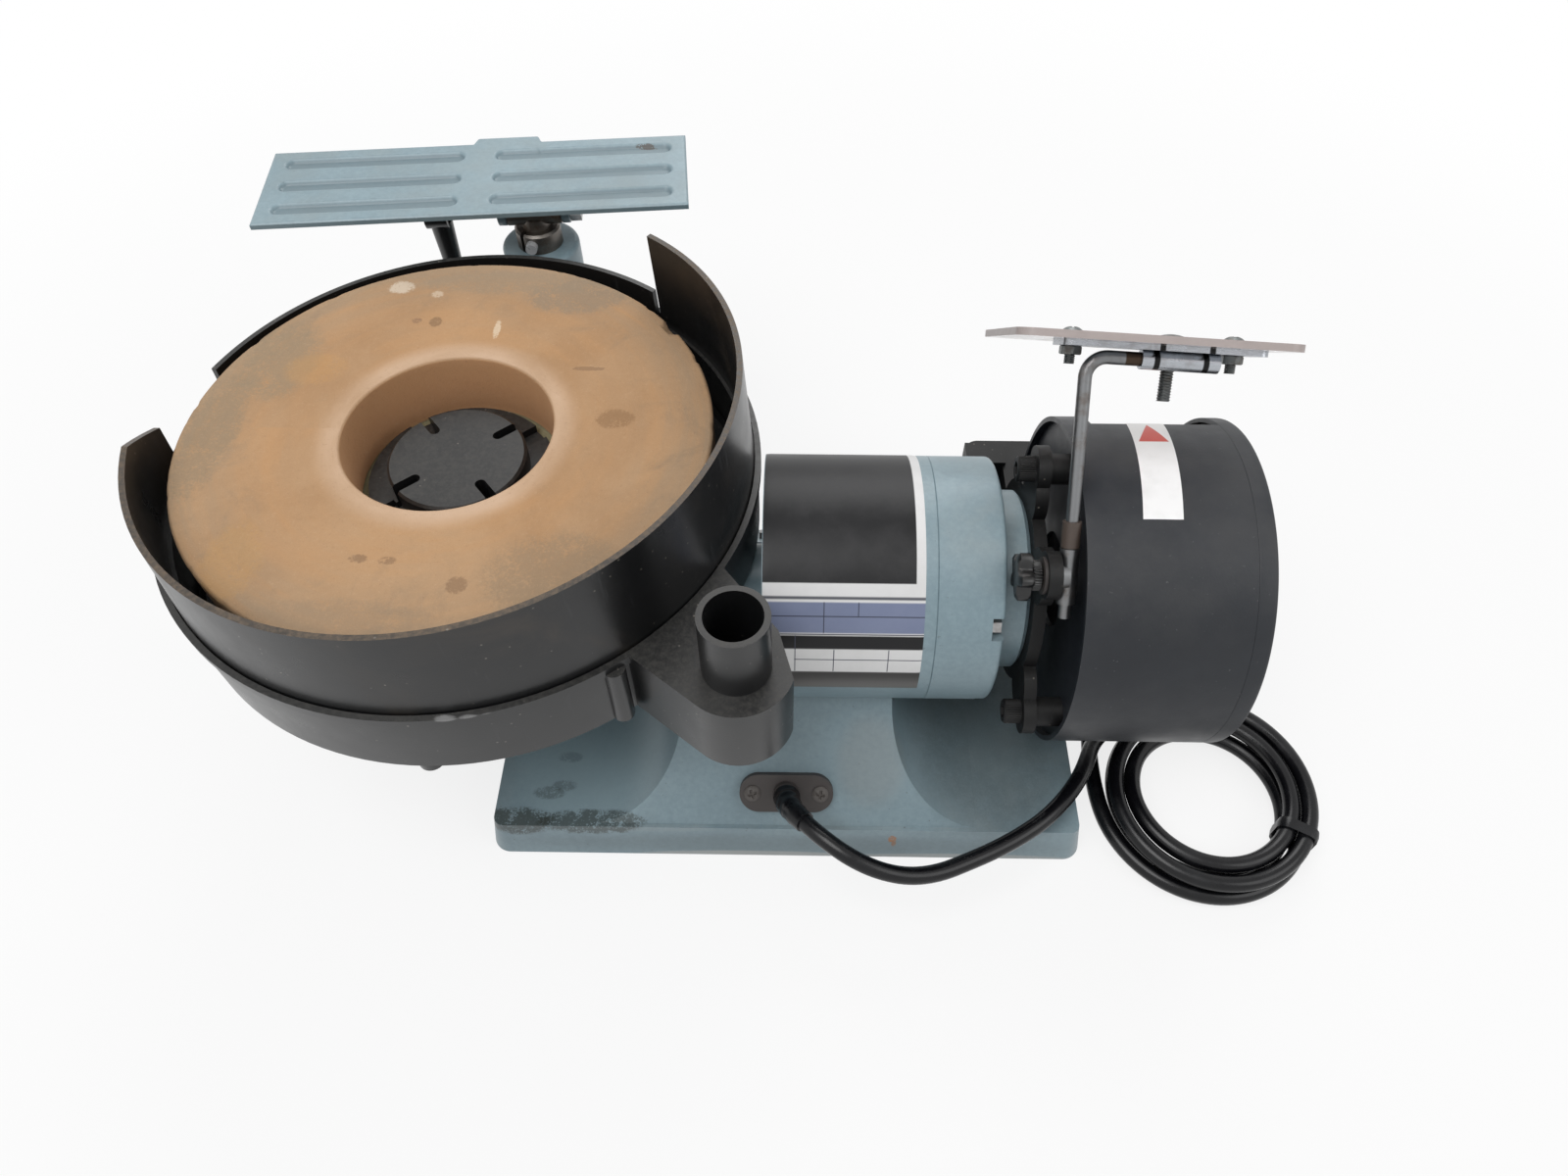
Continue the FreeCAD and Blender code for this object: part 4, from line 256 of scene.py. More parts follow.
def black_moulding(name, base=0.009, dust=0.4, grain=1400, roughness=0.3, spots=(),
                   tint=(0.068, 0.064, 0.055), **constants):
    """Black moulded plastic: fine moulded grain, rubbed streaks round the wall, tinted dust that settles in
    grains on faces that look up, and pale specks."""
    f = Finish(name, roughness=roughness, **constants)
    smear = f.noise(20, 6, 0.62, distort=0.8)
    up = f.facing(UP).rise(0.5, 0.95)
    grains = f.noise(520, 4, 0.75).rise(0.38, 0.68)
    settle = ((smear * 0.5 + grains * 0.6) * up * dust + smear.rise(0.5, 0.8) * dust * 0.2).least(0.85)
    f.color = f.mix(settle, (base, base * 1.03, base * 1.1), tint)
    scuff = f.noise(300, 3, where=f.point(f.x, f.y, f.z * 0.1)).rise(0.63, 0.75) * 0.25
    f.coat(scuff, (0.05, 0.052, 0.055))
    speck = f.cells(230).rise(0.12, 0.05) * f.noise(60, 3).rise(0.46, 0.62) * 0.6
    f.coat(speck, (0.24, 0.22, 0.19))
    f.marks(spots, 700)
    rough = roughness + settle * 0.55 + scuff * 0.3 + (f.noise(70, 4) - 0.5) * 0.16
    return f.set(rough, height=f.noise(grain, 2) + speck, depth=0.00007, strength=0.22)


def guard_black(name):
    """Black baked paint on sheet steel: fine texture, faint brown haze on top and small pale flecks."""
    f = Finish(name, roughness=0.45, Specular_IOR_Level=0.42)
    cloud = f.noise(18, 5, 0.6)
    f.color = f.mix(cloud.rise(0.35, 0.75), (0.008, 0.01, 0.014), (0.018, 0.021, 0.026))
    haze = f.facing(UP).rise(0.3, 0.95) * f.noise(34, 5, 0.65).rise(0.35, 0.75) * 0.5
    f.coat(haze, (0.046, 0.046, 0.047))
    f.coat(f.noise(640, 2).rise(0.7, 0.78) * 0.45, (0.1, 0.1, 0.105))
    rough = 0.44 + haze * 0.3 + (f.noise(120, 3) - 0.5) * 0.2
    return f.set(rough, height=f.noise(1100, 2), depth=0.0001, strength=0.35)


def worn_steel(name, tint=(0.36, 0.36, 0.36), stain=0.5, roughness=0.34, bands=()):
    """Plain steel gone dull: brown stains in blots, fine scratches, uneven gloss and dark bands along x."""
    f = Finish(name, tint, roughness, Metallic=1.0)
    blot = f.noise(160, 5, 0.65).rise(0.45, 0.72) * stain
    f.color = f.mix(blot, tint, (0.1, 0.068, 0.045))
    for middle, half, shade in bands:
        f.coat((f.x - middle * MM).size().rise((half + 0.2) * MM, (half - 0.2) * MM), shade)
    scratch = f.noise(900, 2, where=f.point(f.x * 0.15, f.y, f.z))
    rough = roughness + blot * 0.3 + (scratch - 0.5) * 0.2
    return f.set(rough, height=scratch, depth=0.00005, strength=0.2)


STAIN = (0.22, 0.13, 0.07)
# Stains on the stone's face: x, y, reach along x and y, tint, share and softness of the edge.
STONE_STAINS = [
    (-67.4, 23.5, 10, 7, (0.23, 0.125, 0.055), 0.6, 0.3),
    (-167.5, 101.5, 8, 5.5, (0.6, 0.5, 0.39), 0.8, 0.3),
    (-121.7, 75, 1.9, 8, (0.66, 0.52, 0.37), 0.8, 0.3),
    (-151, 97, 3.5, 3, (0.6, 0.48, 0.36), 0.6, 0.3),
    (-148, 79.3, 3.6, 4.2, (0.24, 0.14, 0.07), 0.8, 0.3),
    (-156, 79.9, 2.8, 2.4, (0.24, 0.14, 0.08), 0.7, 0.3),
    (-112.2, -56.5, 5, 5, STAIN, 0.65, 0.3),
    (-148.6, -45.7, 4.4, 2.6, STAIN, 0.7, 0.3),
    (-138.3, -46.4, 4.4, 2.4, STAIN, 0.65, 0.3),
    (-90.9, 96.7, 30, 15, (0.25, 0.19, 0.13), 0.7, 0.45),
    (-220, 12, 14, 44, (0.26, 0.195, 0.125), 0.65, 0.45),
    (-205, 55, 20, 30, (0.26, 0.2, 0.13), 0.6, 0.45),
    (-120, 106, 58, 11, (0.28, 0.21, 0.14), 0.6, 0.45),
    (-78, -52, 34, 24, (0.26, 0.185, 0.115), 0.6, 0.45),
    (-150, -72, 46, 12, (0.29, 0.205, 0.13), 0.5, 0.45),
    (-192, -48, 14, 24, (0.44, 0.255, 0.105), 0.5, 0.45),
    (-190, 50, 16, 12, (0.47, 0.26, 0.1), 0.45, 0.45),
    (-80.7, 51.6, 9, 1.6, STAIN, 0.6, 0.15),
]


def fired_stone(name):
    """Orange-beige bonded grit: radius r from the wheel's axis paints a pale worn band round the recess, an
    orange middle, a greyer rim with turning streaks and a brown recess wall over a greenish floor, and then
    come stains, grains and pits."""
    f = Finish(name, roughness=0.9)
    dx, dy = f.x - WHEEL[0] * MM, f.y - WHEEL[1] * MM
    r = (dx * dx + dy * dy) ** 0.5
    turn = f.node("ShaderNodeMath", {"operation": "ARCTAN2"}, (dy, dx))
    cloud = f.noise(15, 6, 0.62, distort=0.5)
    f.color = f.mix(cloud.rise(0.28, 0.75), (0.365, 0.21, 0.102), (0.445, 0.278, 0.152))
    ring = f.noise(1.0, 4, 0.6, where=f.point(turn * 0.9, r * 60.0, 0.3))
    f.coat(ring.rise(0.42, 0.7) * 0.55, (0.475, 0.262, 0.118))
    streak = f.noise(1.0, 5, 0.6, where=f.point(turn * 1.6, r * 170.0, f.z * 30.0))
    rim = r.rise(0.068, 0.1) * streak.rise(0.2, 0.7)
    f.coat(rim * 0.75, (0.315, 0.23, 0.15))
    smudge = f.noise(42, 6, 0.7, distort=1.2).rise(0.5, 0.78) * (0.35 + r.rise(0.055, 0.095)) * 0.5
    f.coat(smudge, (0.24, 0.175, 0.115))
    edge, floor = RECESS_R * MM, RECESS_FLOOR * MM
    worn = r.rise(edge - 0.00025, edge + 0.00115) * r.rise(edge + 0.01195, edge + 0.00245)
    pale = worn * (ring * 2.2 - 0.3)
    f.coat((pale * 0.8).least(0.9).most(0.0), (0.57, 0.4, 0.275))
    inside = r.rise(edge + 0.00035, edge - 0.00015)
    wall = f.mix(f.z.rise(floor + 0.0008, floor + 0.0268), (0.5, 0.25, 0.12), (0.62, 0.33, 0.155))
    wall = f.mix(f.z.rise(floor + 0.0014, floor + 0.0005), wall, (0.17, 0.16, 0.09))
    f.coat(inside * 0.95, wall)
    deep = 9
    f.marks([((x, y, STONE_TOP), (reach_x, reach_y, deep), *look)
             for x, y, reach_x, reach_y, *look in STONE_STAINS], 150, 3.2)
    grit = f.noise(1500, 3, 0.7)
    grain = f.noise(520, 5, 0.8)
    sand = grit * 0.4 + grain * 0.6
    f.coat(sand.rise(0.52, 0.72) * 0.4, (0.56, 0.385, 0.245))
    f.coat(sand.rise(0.47, 0.28) * 0.45, (0.235, 0.13, 0.065))
    pits = f.cells(420).rise(0.16, 0.05) * f.noise(120, 2).rise(0.5, 0.62)
    height = grit * 0.6 + f.noise(380, 3) * 0.5 - pits * 0.8
    return f.set(0.88 + (grit - 0.5) * 0.1, height=height, depth=0.0004, strength=0.5)


def grey_grit(name):
    """Grey bonded grit of the dry wheel."""
    f = Finish(name, roughness=0.9)
    grit = f.noise(1800, 3, 0.7)
    f.color = f.mix(grit, (0.12, 0.12, 0.13), (0.36, 0.36, 0.38))
    return f.set(height=grit, depth=0.0004, strength=0.6)


def cord_jacket(name):
    """Black rubber jacket: faint bloom in streaks and a soft sheen."""
    f = Finish(name, roughness=0.3, Specular_IOR_Level=0.32)
    bloom = f.noise(60, 5, 0.6).rise(0.4, 0.8)
    f.color = f.mix(bloom * 0.5, (0.003, 0.003, 0.004), (0.012, 0.013, 0.015))
    return f.set(0.22 + bloom * 0.22, height=f.noise(1300, 2), depth=0.00006, strength=0.15)


def brown_rubber(name, tint):
    """Brown-grey plastic or rubber with a dull, slightly mottled face."""
    f = Finish(name, roughness=0.55)
    cloud = f.noise(150, 4)
    f.color = f.mix(cloud, tuple(c * 0.65 for c in tint), tuple(c * 1.3 for c in tint))
    return f.set(0.45 + cloud * 0.2, height=f.noise(1500, 2), depth=0.00008, strength=0.3)


def plain(name, color, roughness=0.5, vary=0.25, **constants):
    """A simple finish with a little mottling in its colour and gloss."""
    f = Finish(name, color, roughness, **constants)
    cloud = f.noise(120, 4)
    dark, light = (tuple(c * k for c in color) for k in (1 - vary, 1 + vary))
    f.color = f.mix(cloud, dark, light)
    return f.set(roughness + (cloud - 0.5) * 0.2)


def clear_sheet(name, across):
    """Clear sheet with a rosy cast: its cut edges, told by the face's turn from the sheet's own normal, are
    dull and nearly opaque, and its broad faces carry a little haze and fine scratches."""
    f = Finish(name, (0.95, 0.88, 0.87), 0.07, Transmission_Weight=1.0, IOR=1.49)
    haze = f.noise(300, 4, where=f.point(f.x * 0.3, f.y, f.z)).rise(0.45, 0.8)
    f.set(0.06 + haze * 0.18)
    edge = f.facing(across).size().rise(0.85, 0.4)
    dull = f.node("ShaderNodeBsdfPrincipled", {}, {"Base Color": (0.4, 0.345, 0.33, 1), "Roughness": 0.4})
    return f.cover(edge * 0.72 + haze * 0.1 + 0.16, dull)


def band_of(value, low, high, soft=0.003):
    """1 between low and high, with soft edges."""
    return value.rise(low - soft, low + soft) * value.rise(high + soft, high - soft)


def film_axes(f):
    """The film's own two coordinates, from 0 to 1."""
    u, v, _ = f.axes(f.node("ShaderNodeUVMap", {"uv_map": "face"}))
    return u, v


def blank_plate(name):
    """Printed film without words: white border, a bare charcoal field, a lavender table with thin rules, a
    dark bar, a white table and a grey foot, all empty."""
    f = Finish(name, roughness=0.3, Specular_IOR_Level=0.25)
    u, v = film_axes(f)
    wear = f.noise(60, 5, 0.65)
    f.color = f.mix(wear.rise(0.4, 0.8) * 0.4, (0.7, 0.7, 0.7), (0.56, 0.56, 0.55))
    charcoal = f.mix(wear.rise(0.35, 0.75), (0.008, 0.008, 0.009), (0.02, 0.02, 0.021))
    f.coat(band_of(v, -0.1, 0.605, 0.002) * band_of(u, -0.1, 0.942, 0.004), charcoal)
    lavender = f.mix(wear, (0.155, 0.185, 0.29), (0.215, 0.245, 0.35))
    foot = f.mix(v.rise(0.92, 0.99), (0.045, 0.043, 0.042), (0.15, 0.145, 0.14))
    for low, high, shade in ((0.644, 0.653, (0.1, 0.105, 0.12)), (0.661, 0.757, lavender),
                             (0.766, 0.813, (0.01, 0.01, 0.011)), (0.907, 1.1, foot)):
        f.coat(band_of(v, low, high), shade)
    ink = (0.05, 0.055, 0.08)
    for level, start, stop in ((0.704, -0.1, 1.1), (0.7615, -0.1, 1.1), (0.854, 0.2, 1.0)):
        rule = band_of(v, level - 0.0017, level + 0.0017, 0.001)
        f.coat(rule * band_of(u, start, stop), ink)
    for column, low, high in ((0.38, 0.661, 0.757), (0.592, 0.661, 0.704), (0.448, 0.815, 0.905),
                              (0.79, 0.815, 0.905), (0.205, 0.766, 0.905)):
        rule = band_of(u, column - 0.003, column + 0.003, 0.002)
        f.coat(rule * band_of(v, low, high), ink)
    return f.set(0.3 + wear * 0.2)


def arrow_film(name):
    """White film with one plain red wedge at its far end: the wedge widens with v from its point."""
    f = Finish(name, roughness=0.28)
    u, v = film_axes(f)
    wedge = ((u - 0.52).size() - (v - 0.05) * 1.45).rise(0.03, 0.0) * v.rise(0.318, 0.306)
    f.color = f.mix(v.rise(0.75, 0.1), (0.93, 0.93, 0.93), (0.72, 0.72, 0.71))
    f.coat(f.noise(90, 4).rise(0.45, 0.8) * 0.25, (0.6, 0.6, 0.58))
    f.coat(wedge, (0.52, 0.05, 0.03))
    return f.set(0.24 + f.noise(120, 3) * 0.14)


def placed(name, data):
    """Adds an object that holds the data to the scene."""
    thing = bpy.data.objects.new(name, data)
    bpy.context.scene.collection.objects.link(thing)
    return thing


def quads(rows, cols, wrap_rows=False, wrap_cols=False):
    """Corner numbers of the quads between neighbours on a grid of points."""
    i, j = np.meshgrid(np.arange(rows - (not wrap_rows)), np.arange(cols - (not wrap_cols)), indexing="ij")
    i2, j2 = (i + 1) % rows, (j + 1) % cols
    return np.stack([i * cols + j, i2 * cols + j, i2 * cols + j2, i * cols + j2], -1).reshape(-1, 4)


def surface(name, grid, finish, body, stands_for=(), smooth=50, wrap_rows=True, wrap_cols=False):
    """A piece from a grid of points in millimetres; doubles are merged and normals turned outwards."""
    mesh = bpy.data.meshes.new(name)
    faces = quads(*grid.shape[:2], wrap_rows, wrap_cols)
    mesh.from_pydata((grid.reshape(-1, 3) * MM).tolist(), [], faces.tolist())
    made = bmesh.new()
    made.from_mesh(mesh)
    bmesh.ops.remove_doubles(made, verts=made.verts, dist=2e-6)
    bmesh.ops.dissolve_degenerate(made, edges=made.edges, dist=1e-7)
    bmesh.ops.holes_fill(made, edges=made.edges, sides=400)
    bmesh.ops.recalc_face_normals(made, faces=made.faces)
    made.to_mesh(mesh)
    made.free()
    return piece(name, mesh, finish, body, stands_for, smooth)


def piece(name, mesh, finish, body, stands_for=(), smooth=50):
    """Registers a finished mesh: smooth shading up to the given angle, its finish, body and stand-in."""
    thing = placed(name, mesh)
    mesh.materials.append(finish)
    mesh.polygons.foreach_set("use_smooth", np.ones(len(mesh.polygons), bool))
    mesh.set_sharp_from_angle(angle=math.radians(smooth))
    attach(thing, body)
    if stands_for:
        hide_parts(*stands_for)
    return thing


def rounded(corners, radius, steps=5):
    """Open line through corners with each inner corner eased by a curve: a quadratic from one side of the
    corner to the other, reaching the given distance (or 45 percent of the shorter side)."""
    corners = np.array(corners, float)
    reach = np.broadcast_to(np.array(radius, float), (len(corners),))
    line = [corners[:1]]
    t = np.linspace(0, 1, steps)[:, None]
    for k in range(1, len(corners) - 1):
        a, b, c = corners[k - 1], corners[k], corners[k + 1]
        da, dc = np.linalg.norm(a - b), np.linalg.norm(c - b)
        cut = min(reach[k], 0.45 * da, 0.45 * dc)
        p, q = b + (a - b) / da * cut, b + (c - b) / dc * cut
        line.append((1 - t) ** 2 * p + 2 * t * (1 - t) * b + t ** 2 * q)
    line.append(corners[-1:])
    return np.concatenate(line)


def refined(line, step):
    """The same line with points added so that none is further than a step from the next."""
    runs = [np.linspace(a, b, max(2, int(np.linalg.norm(b - a) / step) + 1), endpoint=False)
            for a, b in zip(line, line[1:])]
    return np.concatenate(runs + [line[-1:]])


def full_turn(count):
    """Evenly spaced angles of a full turn, as a column."""
    return np.linspace(0, 2 * np.pi, count, endpoint=False)[:, None]


def polar(r, angle, z):
    """Points at a radius, an angle and a height about the Z axis."""
    r, angle, z = np.broadcast_arrays(r, angle, z)
    return np.stack([r * np.cos(angle), r * np.sin(angle), z], -1)


def spun(profile, count):
    """Profile of (radius, height) turned about the height axis: rows are angles, columns the profile."""
    return polar(profile[:, 0], full_turn(count), profile[:, 1])


def turn_matrix(axis, angle):
    """Rotation about one of the frame's axes."""
    return np.array(Matrix.Rotation(angle, 3, axis))


def moved(grid, at, turn=None):
    """Grid turned by a matrix and shifted to a place."""
    return (grid if turn is None else grid @ turn.T) + np.array(at)


ALONG_X = np.eye(3)[[2, 0, 1]]
TO_LEFT = ALONG_X * [[-1], [1], [-1]]
SHIELD_FRAME = turn_matrix("X", -ROD_LEAN) @ turn_matrix("Y", ROD_BEND) @ turn_matrix("X", -SHIELD_TILT)
SLOPE_NEAR = turn_matrix("X", SLOPE)
SLOPE_SPOT = SLOPE_FOOT + PLATE_UP * np.array([0, math.cos(SLOPE), math.sin(SLOPE)])
SLOPE_OUT = np.array([0, -math.sin(SLOPE), math.cos(SLOPE)])


def wheel_stone(finish):
    """Stone turned about Z: r(profile) less a slow wobble, small nicks along the rim from a product of
    sines, and one chip, a bowl-shaped bite out of the rim's edge."""
    bore, low, top = 9, 118.2, STONE_TOP - 0.05
    corners = [(bore, low), (STONE_R - 0.6, low), (STONE_R + 0.05, low + 0.8), (STONE_R, top - 1.05),
               (STONE_R - 1, top), (RECESS_R + 0.85, top), (RECESS_R + 0.05, top - 0.75),
               (RECESS_R, RECESS_FLOOR), (bore, RECESS_FLOOR)]
    radius, height = refined(rounded(corners, [0, 1, 1, 1, 1, 0.7, 0.7, 1, 0], 4), 2.5).T
    angle = full_turn(480)
    wave = np.sin(5 * angle + 0.7) + 0.6 * np.sin(13 * angle) + 0.5 * np.sin(29 * angle + height * 0.2)
    nick = np.clip(np.sin(17 * angle + 1) * np.sin(41 * angle) * np.sin(7 * angle + 2) - 0.35, 0, 1)
    rim = np.clip((radius - 97) / 4, 0, 1) * np.clip((height - 150) / 8, 0, 1)
    shrink = 0.06 * (wave + 2.1) * (radius > 95) + 1.1 * nick * rim
    chip = math.radians(36.7)
    gap = np.sqrt(((angle - chip) * 95 / 4.6) ** 2 + ((radius - STONE_R) / 3.8) ** 2
                  + ((height - STONE_TOP) / 3.4) ** 2)
    bite = np.clip(1 - gap, 0, 1) ** 0.6
    grid = polar(radius - shrink - 2.6 * bite, angle, height - 1.8 * bite)
    return surface("wheel_stone", moved(grid, (*WHEEL, 0)), finish, "wet_wheel",
                   ["grinding_stone"], 12, wrap_cols=True)


def rest_table(finish):
    """Pressed plate as a height field over (u, v): v runs from the near edge to far(u), where far(u) steps
    out at the tab; each of six grooves sinks by a smooth bump of its distance to the groove's line."""
    shift_u, shift_v, half_u, half_v, under_up = -24.4, 10.2, 95.5, 28.0, 8.2
    tab_half, tab_out, groove_long, groove_half, ramp = 16.0, 4.7, 74.0, 4.4, 2.0
    u = shift_u + np.linspace(-half_u, half_u, 382)
    bump = np.clip((tab_half - np.abs(u - shift_u - 12)) / 2.5, 0, 1)
    near = shift_v - half_v
    far = shift_v + half_v + tab_out * bump * bump * (3 - 2 * bump)
    uu, share = np.meshgrid(u, np.linspace(0, 1, 130), indexing="ij")
    vv = near + share * (far[:, None] - near)
    sink = np.zeros_like(uu)
    for start in (shift_u + 10.75 - half_u, shift_u + 10.75):
        for row in (-17.5, 0.0, 17.5):
            gap = np.hypot(uu - np.clip(uu, start, start + groove_long), vv - shift_v - row)
            sink = np.maximum(sink, np.clip((groove_half - gap) / ramp, 0, 1))
    sink = sink * sink * (3 - 2 * sink)
    edge = np.minimum.reduce([uu - u[0], u[-1] - uu, vv - near, far[:, None] - vv])
    roll = np.clip(1 - edge / 1.2, 0, 1) ** 2 * 0.7
    top = np.stack([uu, vv, TABLE_UP - 1.8 * sink - roll], -1)
    under = np.stack([uu, vv, under_up - 0.9 * sink], -1)
    ring = np.concatenate([top, under[:, ::-1]], 1)
    return surface("rest_table", moved(ring, REST_PIVOT, turn_matrix("Z", REST_TURN)), finish, "rest_plate",
                   ["rest_plate"], 45, wrap_rows=False, wrap_cols=True)


def slab(outline, low, high):
    """Closed plate from a closed outline of (u, v): rings at both faces pulled in by the edge radius along
    the outline's normals, with the straight wall between; rows are the outline, columns go over the rim."""
    edge = 0.4
    ahead, behind = np.roll(outline, -1, 0), np.roll(outline, 1, 0)
    along_it = ahead - behind
    along_it /= np.linalg.norm(along_it, axis=1, keepdims=True) + 1e-9
    area = np.sum(outline[:, 0] * ahead[:, 1] - ahead[:, 0] * outline[:, 1])
    normal = np.stack([along_it[:, 1], -along_it[:, 0]], -1) * math.copysign(1, area)
    angle = np.linspace(0, np.pi / 2, 4)
    pull, drop = edge * (1 - np.sin(angle)), edge * (1 - np.cos(angle))
    insets = np.concatenate([pull, pull[::-1]])
    levels = np.concatenate([low + drop, high - drop[::-1]])
    rings = [np.concatenate([outline - normal * inset, np.full((len(outline), 1), level)], 1)
             for inset, level in zip(insets, levels)]
    middle = outline.mean(0)
    caps = [np.broadcast_to([*middle, level], rings[0].shape) for level in (low, high)]
    return np.stack([caps[0], *rings, caps[1]], 1)


def arc(centre, radius, start, stop, count=24):
    """Points of a circle between two angles in degrees."""
    angle = np.radians(np.linspace(start, stop, count))
    return np.stack([centre[0] + radius * np.cos(angle), centre[1] + radius * np.sin(angle)], -1)


def rest_lugs(finish):
    """Two ears under the plate: a half disc below two straight sides, a slab carried along the pivot."""
    half, thick = 6.4, 3.9
    sides = [(half, 4.0), (half, 8.6), (-half, 8.6), (-half, 4.0)]
    ear = np.concatenate([arc((0, 0), half, 180, 360), sides])
    turn = turn_matrix("Z", REST_TURN) @ ALONG_X
    for k, low in enumerate((12.45, -16.35)):
        grid = moved(slab(ear, low, low + thick), REST_PIVOT, turn)
        surface(f"rest_lug_{k + 1}", grid, finish, "rest_plate")


def cross_head(radius, height):
    """Domed head: height h(1 - 0.75 s^2.6) over the share s of the radius, with a cross sunk where |x| or |y|
    is small, on a polar grid."""
    narrow, long = 0.16, 0.62
    share = np.append(np.linspace(0, 1, 28), 1)
    grid = polar(radius * share, full_turn(96), height * (1 - 0.75 * share ** 2.6))
    grid[:, -1, 2] = 0
    wide, tall = np.abs(grid[..., 0]), np.abs(grid[..., 1])
    arm = np.minimum(np.maximum(wide / narrow, tall / long), np.maximum(tall / narrow, wide / long))
    grid[..., 2] -= 0.55 * height * np.clip((1 - arm / radius) / 0.35, 0, 1) * (share < 0.75)
    return grid


def round_head(radius, height, rim):
    """Smooth head: a short rim, then a dome whose height falls as the square of the share of the radius."""
    share = np.linspace(1, 0, 16)
    dome = np.stack([radius * share, rim + (height - rim) * (1 - share ** 2)], -1)
    return spun(np.concatenate([[(0, 0), (radius * 0.97, 0), (radius, rim * 0.3)], dome]), 64)


def threaded(radius, low, high, pitch, depth):
    """Threaded rod: r = R - depth * tri(z / pitch + angle / turn), a triangle wave that winds as a helix."""
    angle = full_turn(40)
    z = np.linspace(low, high, int((high - low) / pitch * 12))
    phase = (z / pitch + angle / (2 * np.pi)) % 1.0
    r = radius - depth * np.abs(2 * phase - 1)
    return polar(np.pad(r, ((0, 0), (1, 1))), angle, np.pad(z, 1, "edge"))


def six_sided(across, angle):
    """Radius of a hexagon: half its width over the cosine of the angle from the nearest flat's middle."""
    return across / 2 / np.cos((angle + np.pi / 6) % (np.pi / 3) - np.pi / 6)


def hex_nut(across, low, high):
    """Nut: the hexagon's radius, cut by a cone at both faces."""
    angle = full_turn(120)
    z = np.array([low, low, low + 0.25, low + 0.5, high - 0.5, high - 0.25, high, high])
    cone = across * 0.5 + np.minimum(z - low, high - z) * 1.6
    return polar(np.minimum(six_sided(across, angle), cone) * [0, 1, 1, 1, 1, 1, 1, 0], angle, z)


def shield_fasteners(finish):
    """Two pan-head screws with nuts and a broad-headed bolt with a long thread, through strip and sheet."""
    strip_low, sheet_top, across_v = 3.2, 7.5, 7.6
    screw = {"head": cross_head(3.95, 2.4) + (0, 0, sheet_top),
             "nut": hex_nut(7.0, strip_low - 3, strip_low),
             "thread": threaded(1.95, -3.0, sheet_top, 0.7, 0.3)}
    bolt = {"head": round_head(5.8, 1.8, 0.5) + (0, 0, sheet_top),
            "thread": threaded(2.4, -14.0, sheet_top, 1.0, 0.42)}
    made = []
    for name, along_u, parts in (("shield_screw_1", -4.0, screw), ("shield_screw_2", 53.0, screw),
                                 ("hinge_bolt", 31.0, bolt)):
        spot = SHIELD_HINGE + SHIELD_FRAME @ np.array([along_u, across_v, 0])
        made += [surface(f"{name}_{kind}", moved(grid, spot, SHIELD_FRAME), finish, "shield",
                         smooth=38) for kind, grid in parts.items()]
    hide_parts("shield_screws")


def socket_head(radius, height, across, depth):
    """Cap-screw head on a polar grid: a finely ribbed wall, a bevelled rim and a six-sided socket sunk in."""
    bevel = 0.7
    angle = full_turn(144)
    ribs = radius - 0.12 * (1 + np.cos(36 * angle))
    six = six_sided(across, angle)
    ring = np.ones_like(angle)
    r = np.concatenate([0 * ring, ribs, ribs, (radius - bevel) * ring, six * 1.07, six, six, 0 * ring], 1)
    z = np.array([0, 0, height - bevel, height, height, height - 0.2, height - depth, height - depth])
    return polar(r, angle, z)


def guard_fasteners(finish):
    """Three cap screws in the spider's lobes, heads to the left, and three low heads on the end cover."""
    lobe_r, cover_r = 56.5, 59.9
    lobes = [arc((0, MOTOR_Z), lobe_r, angle, angle, 1)[0] for angle in (78.8, 198.8, 318.8)]
    ends = [(0, MOTOR_Z + cover_r), (-cover_r, MOTOR_Z), (0, MOTOR_Z - cover_r)]
    rows = [("spider_screw", socket_head(5.0, 7.0, 5.0, 4.0), SPIDER_LEFT, TO_LEFT, lobes),
            ("cover_screw", cross_head(4.0, 1.6), GUARD_END + 0.05, ALONG_X, ends)]
    made = [surface(f"{name}_{k + 1}", moved(grid, (x, *spot), turn), finish, "base",
                    smooth=35) for name, grid, x, turn, spots in rows for k, spot in enumerate(spots)]
    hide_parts("guard_screws")


def base_fasteners(finish):
    """Two crossed heads on the cord plate, and the four screws of the bottom plate, heads down."""
    shank, head_r, tip, low, out_u = 1.9, 3.3, 12.0, 0.2, 14.4
    foot = spun(np.array([(0, tip), (shank, tip), (shank, 1.0), (head_r, 1.0), (head_r, 0.5), (3.0, low),
                          (0, low)]), 48)
    grids = {}
    for k, u in enumerate((-out_u, out_u)):
        seat = SLOPE_SPOT + SLOPE_NEAR @ np.array([u, 0, PLATE_THICK])
        turn = SLOPE_NEAR @ turn_matrix("Z", 0.4 + k)
        grids[f"plate_screw_{k + 1}"] = moved(cross_head(3.5, 1.6), seat, turn)
    for k, spot in enumerate(((-100, -58, 0), (-100, 58, 0), (100, -58, 0), (100, 58, 0))):
        grids[f"foot_screw_{k + 1}"] = moved(foot, spot)
    made = [surface(name, grid, finish, "base", smooth=35) for name, grid in grids.items()]
    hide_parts("base_screws")


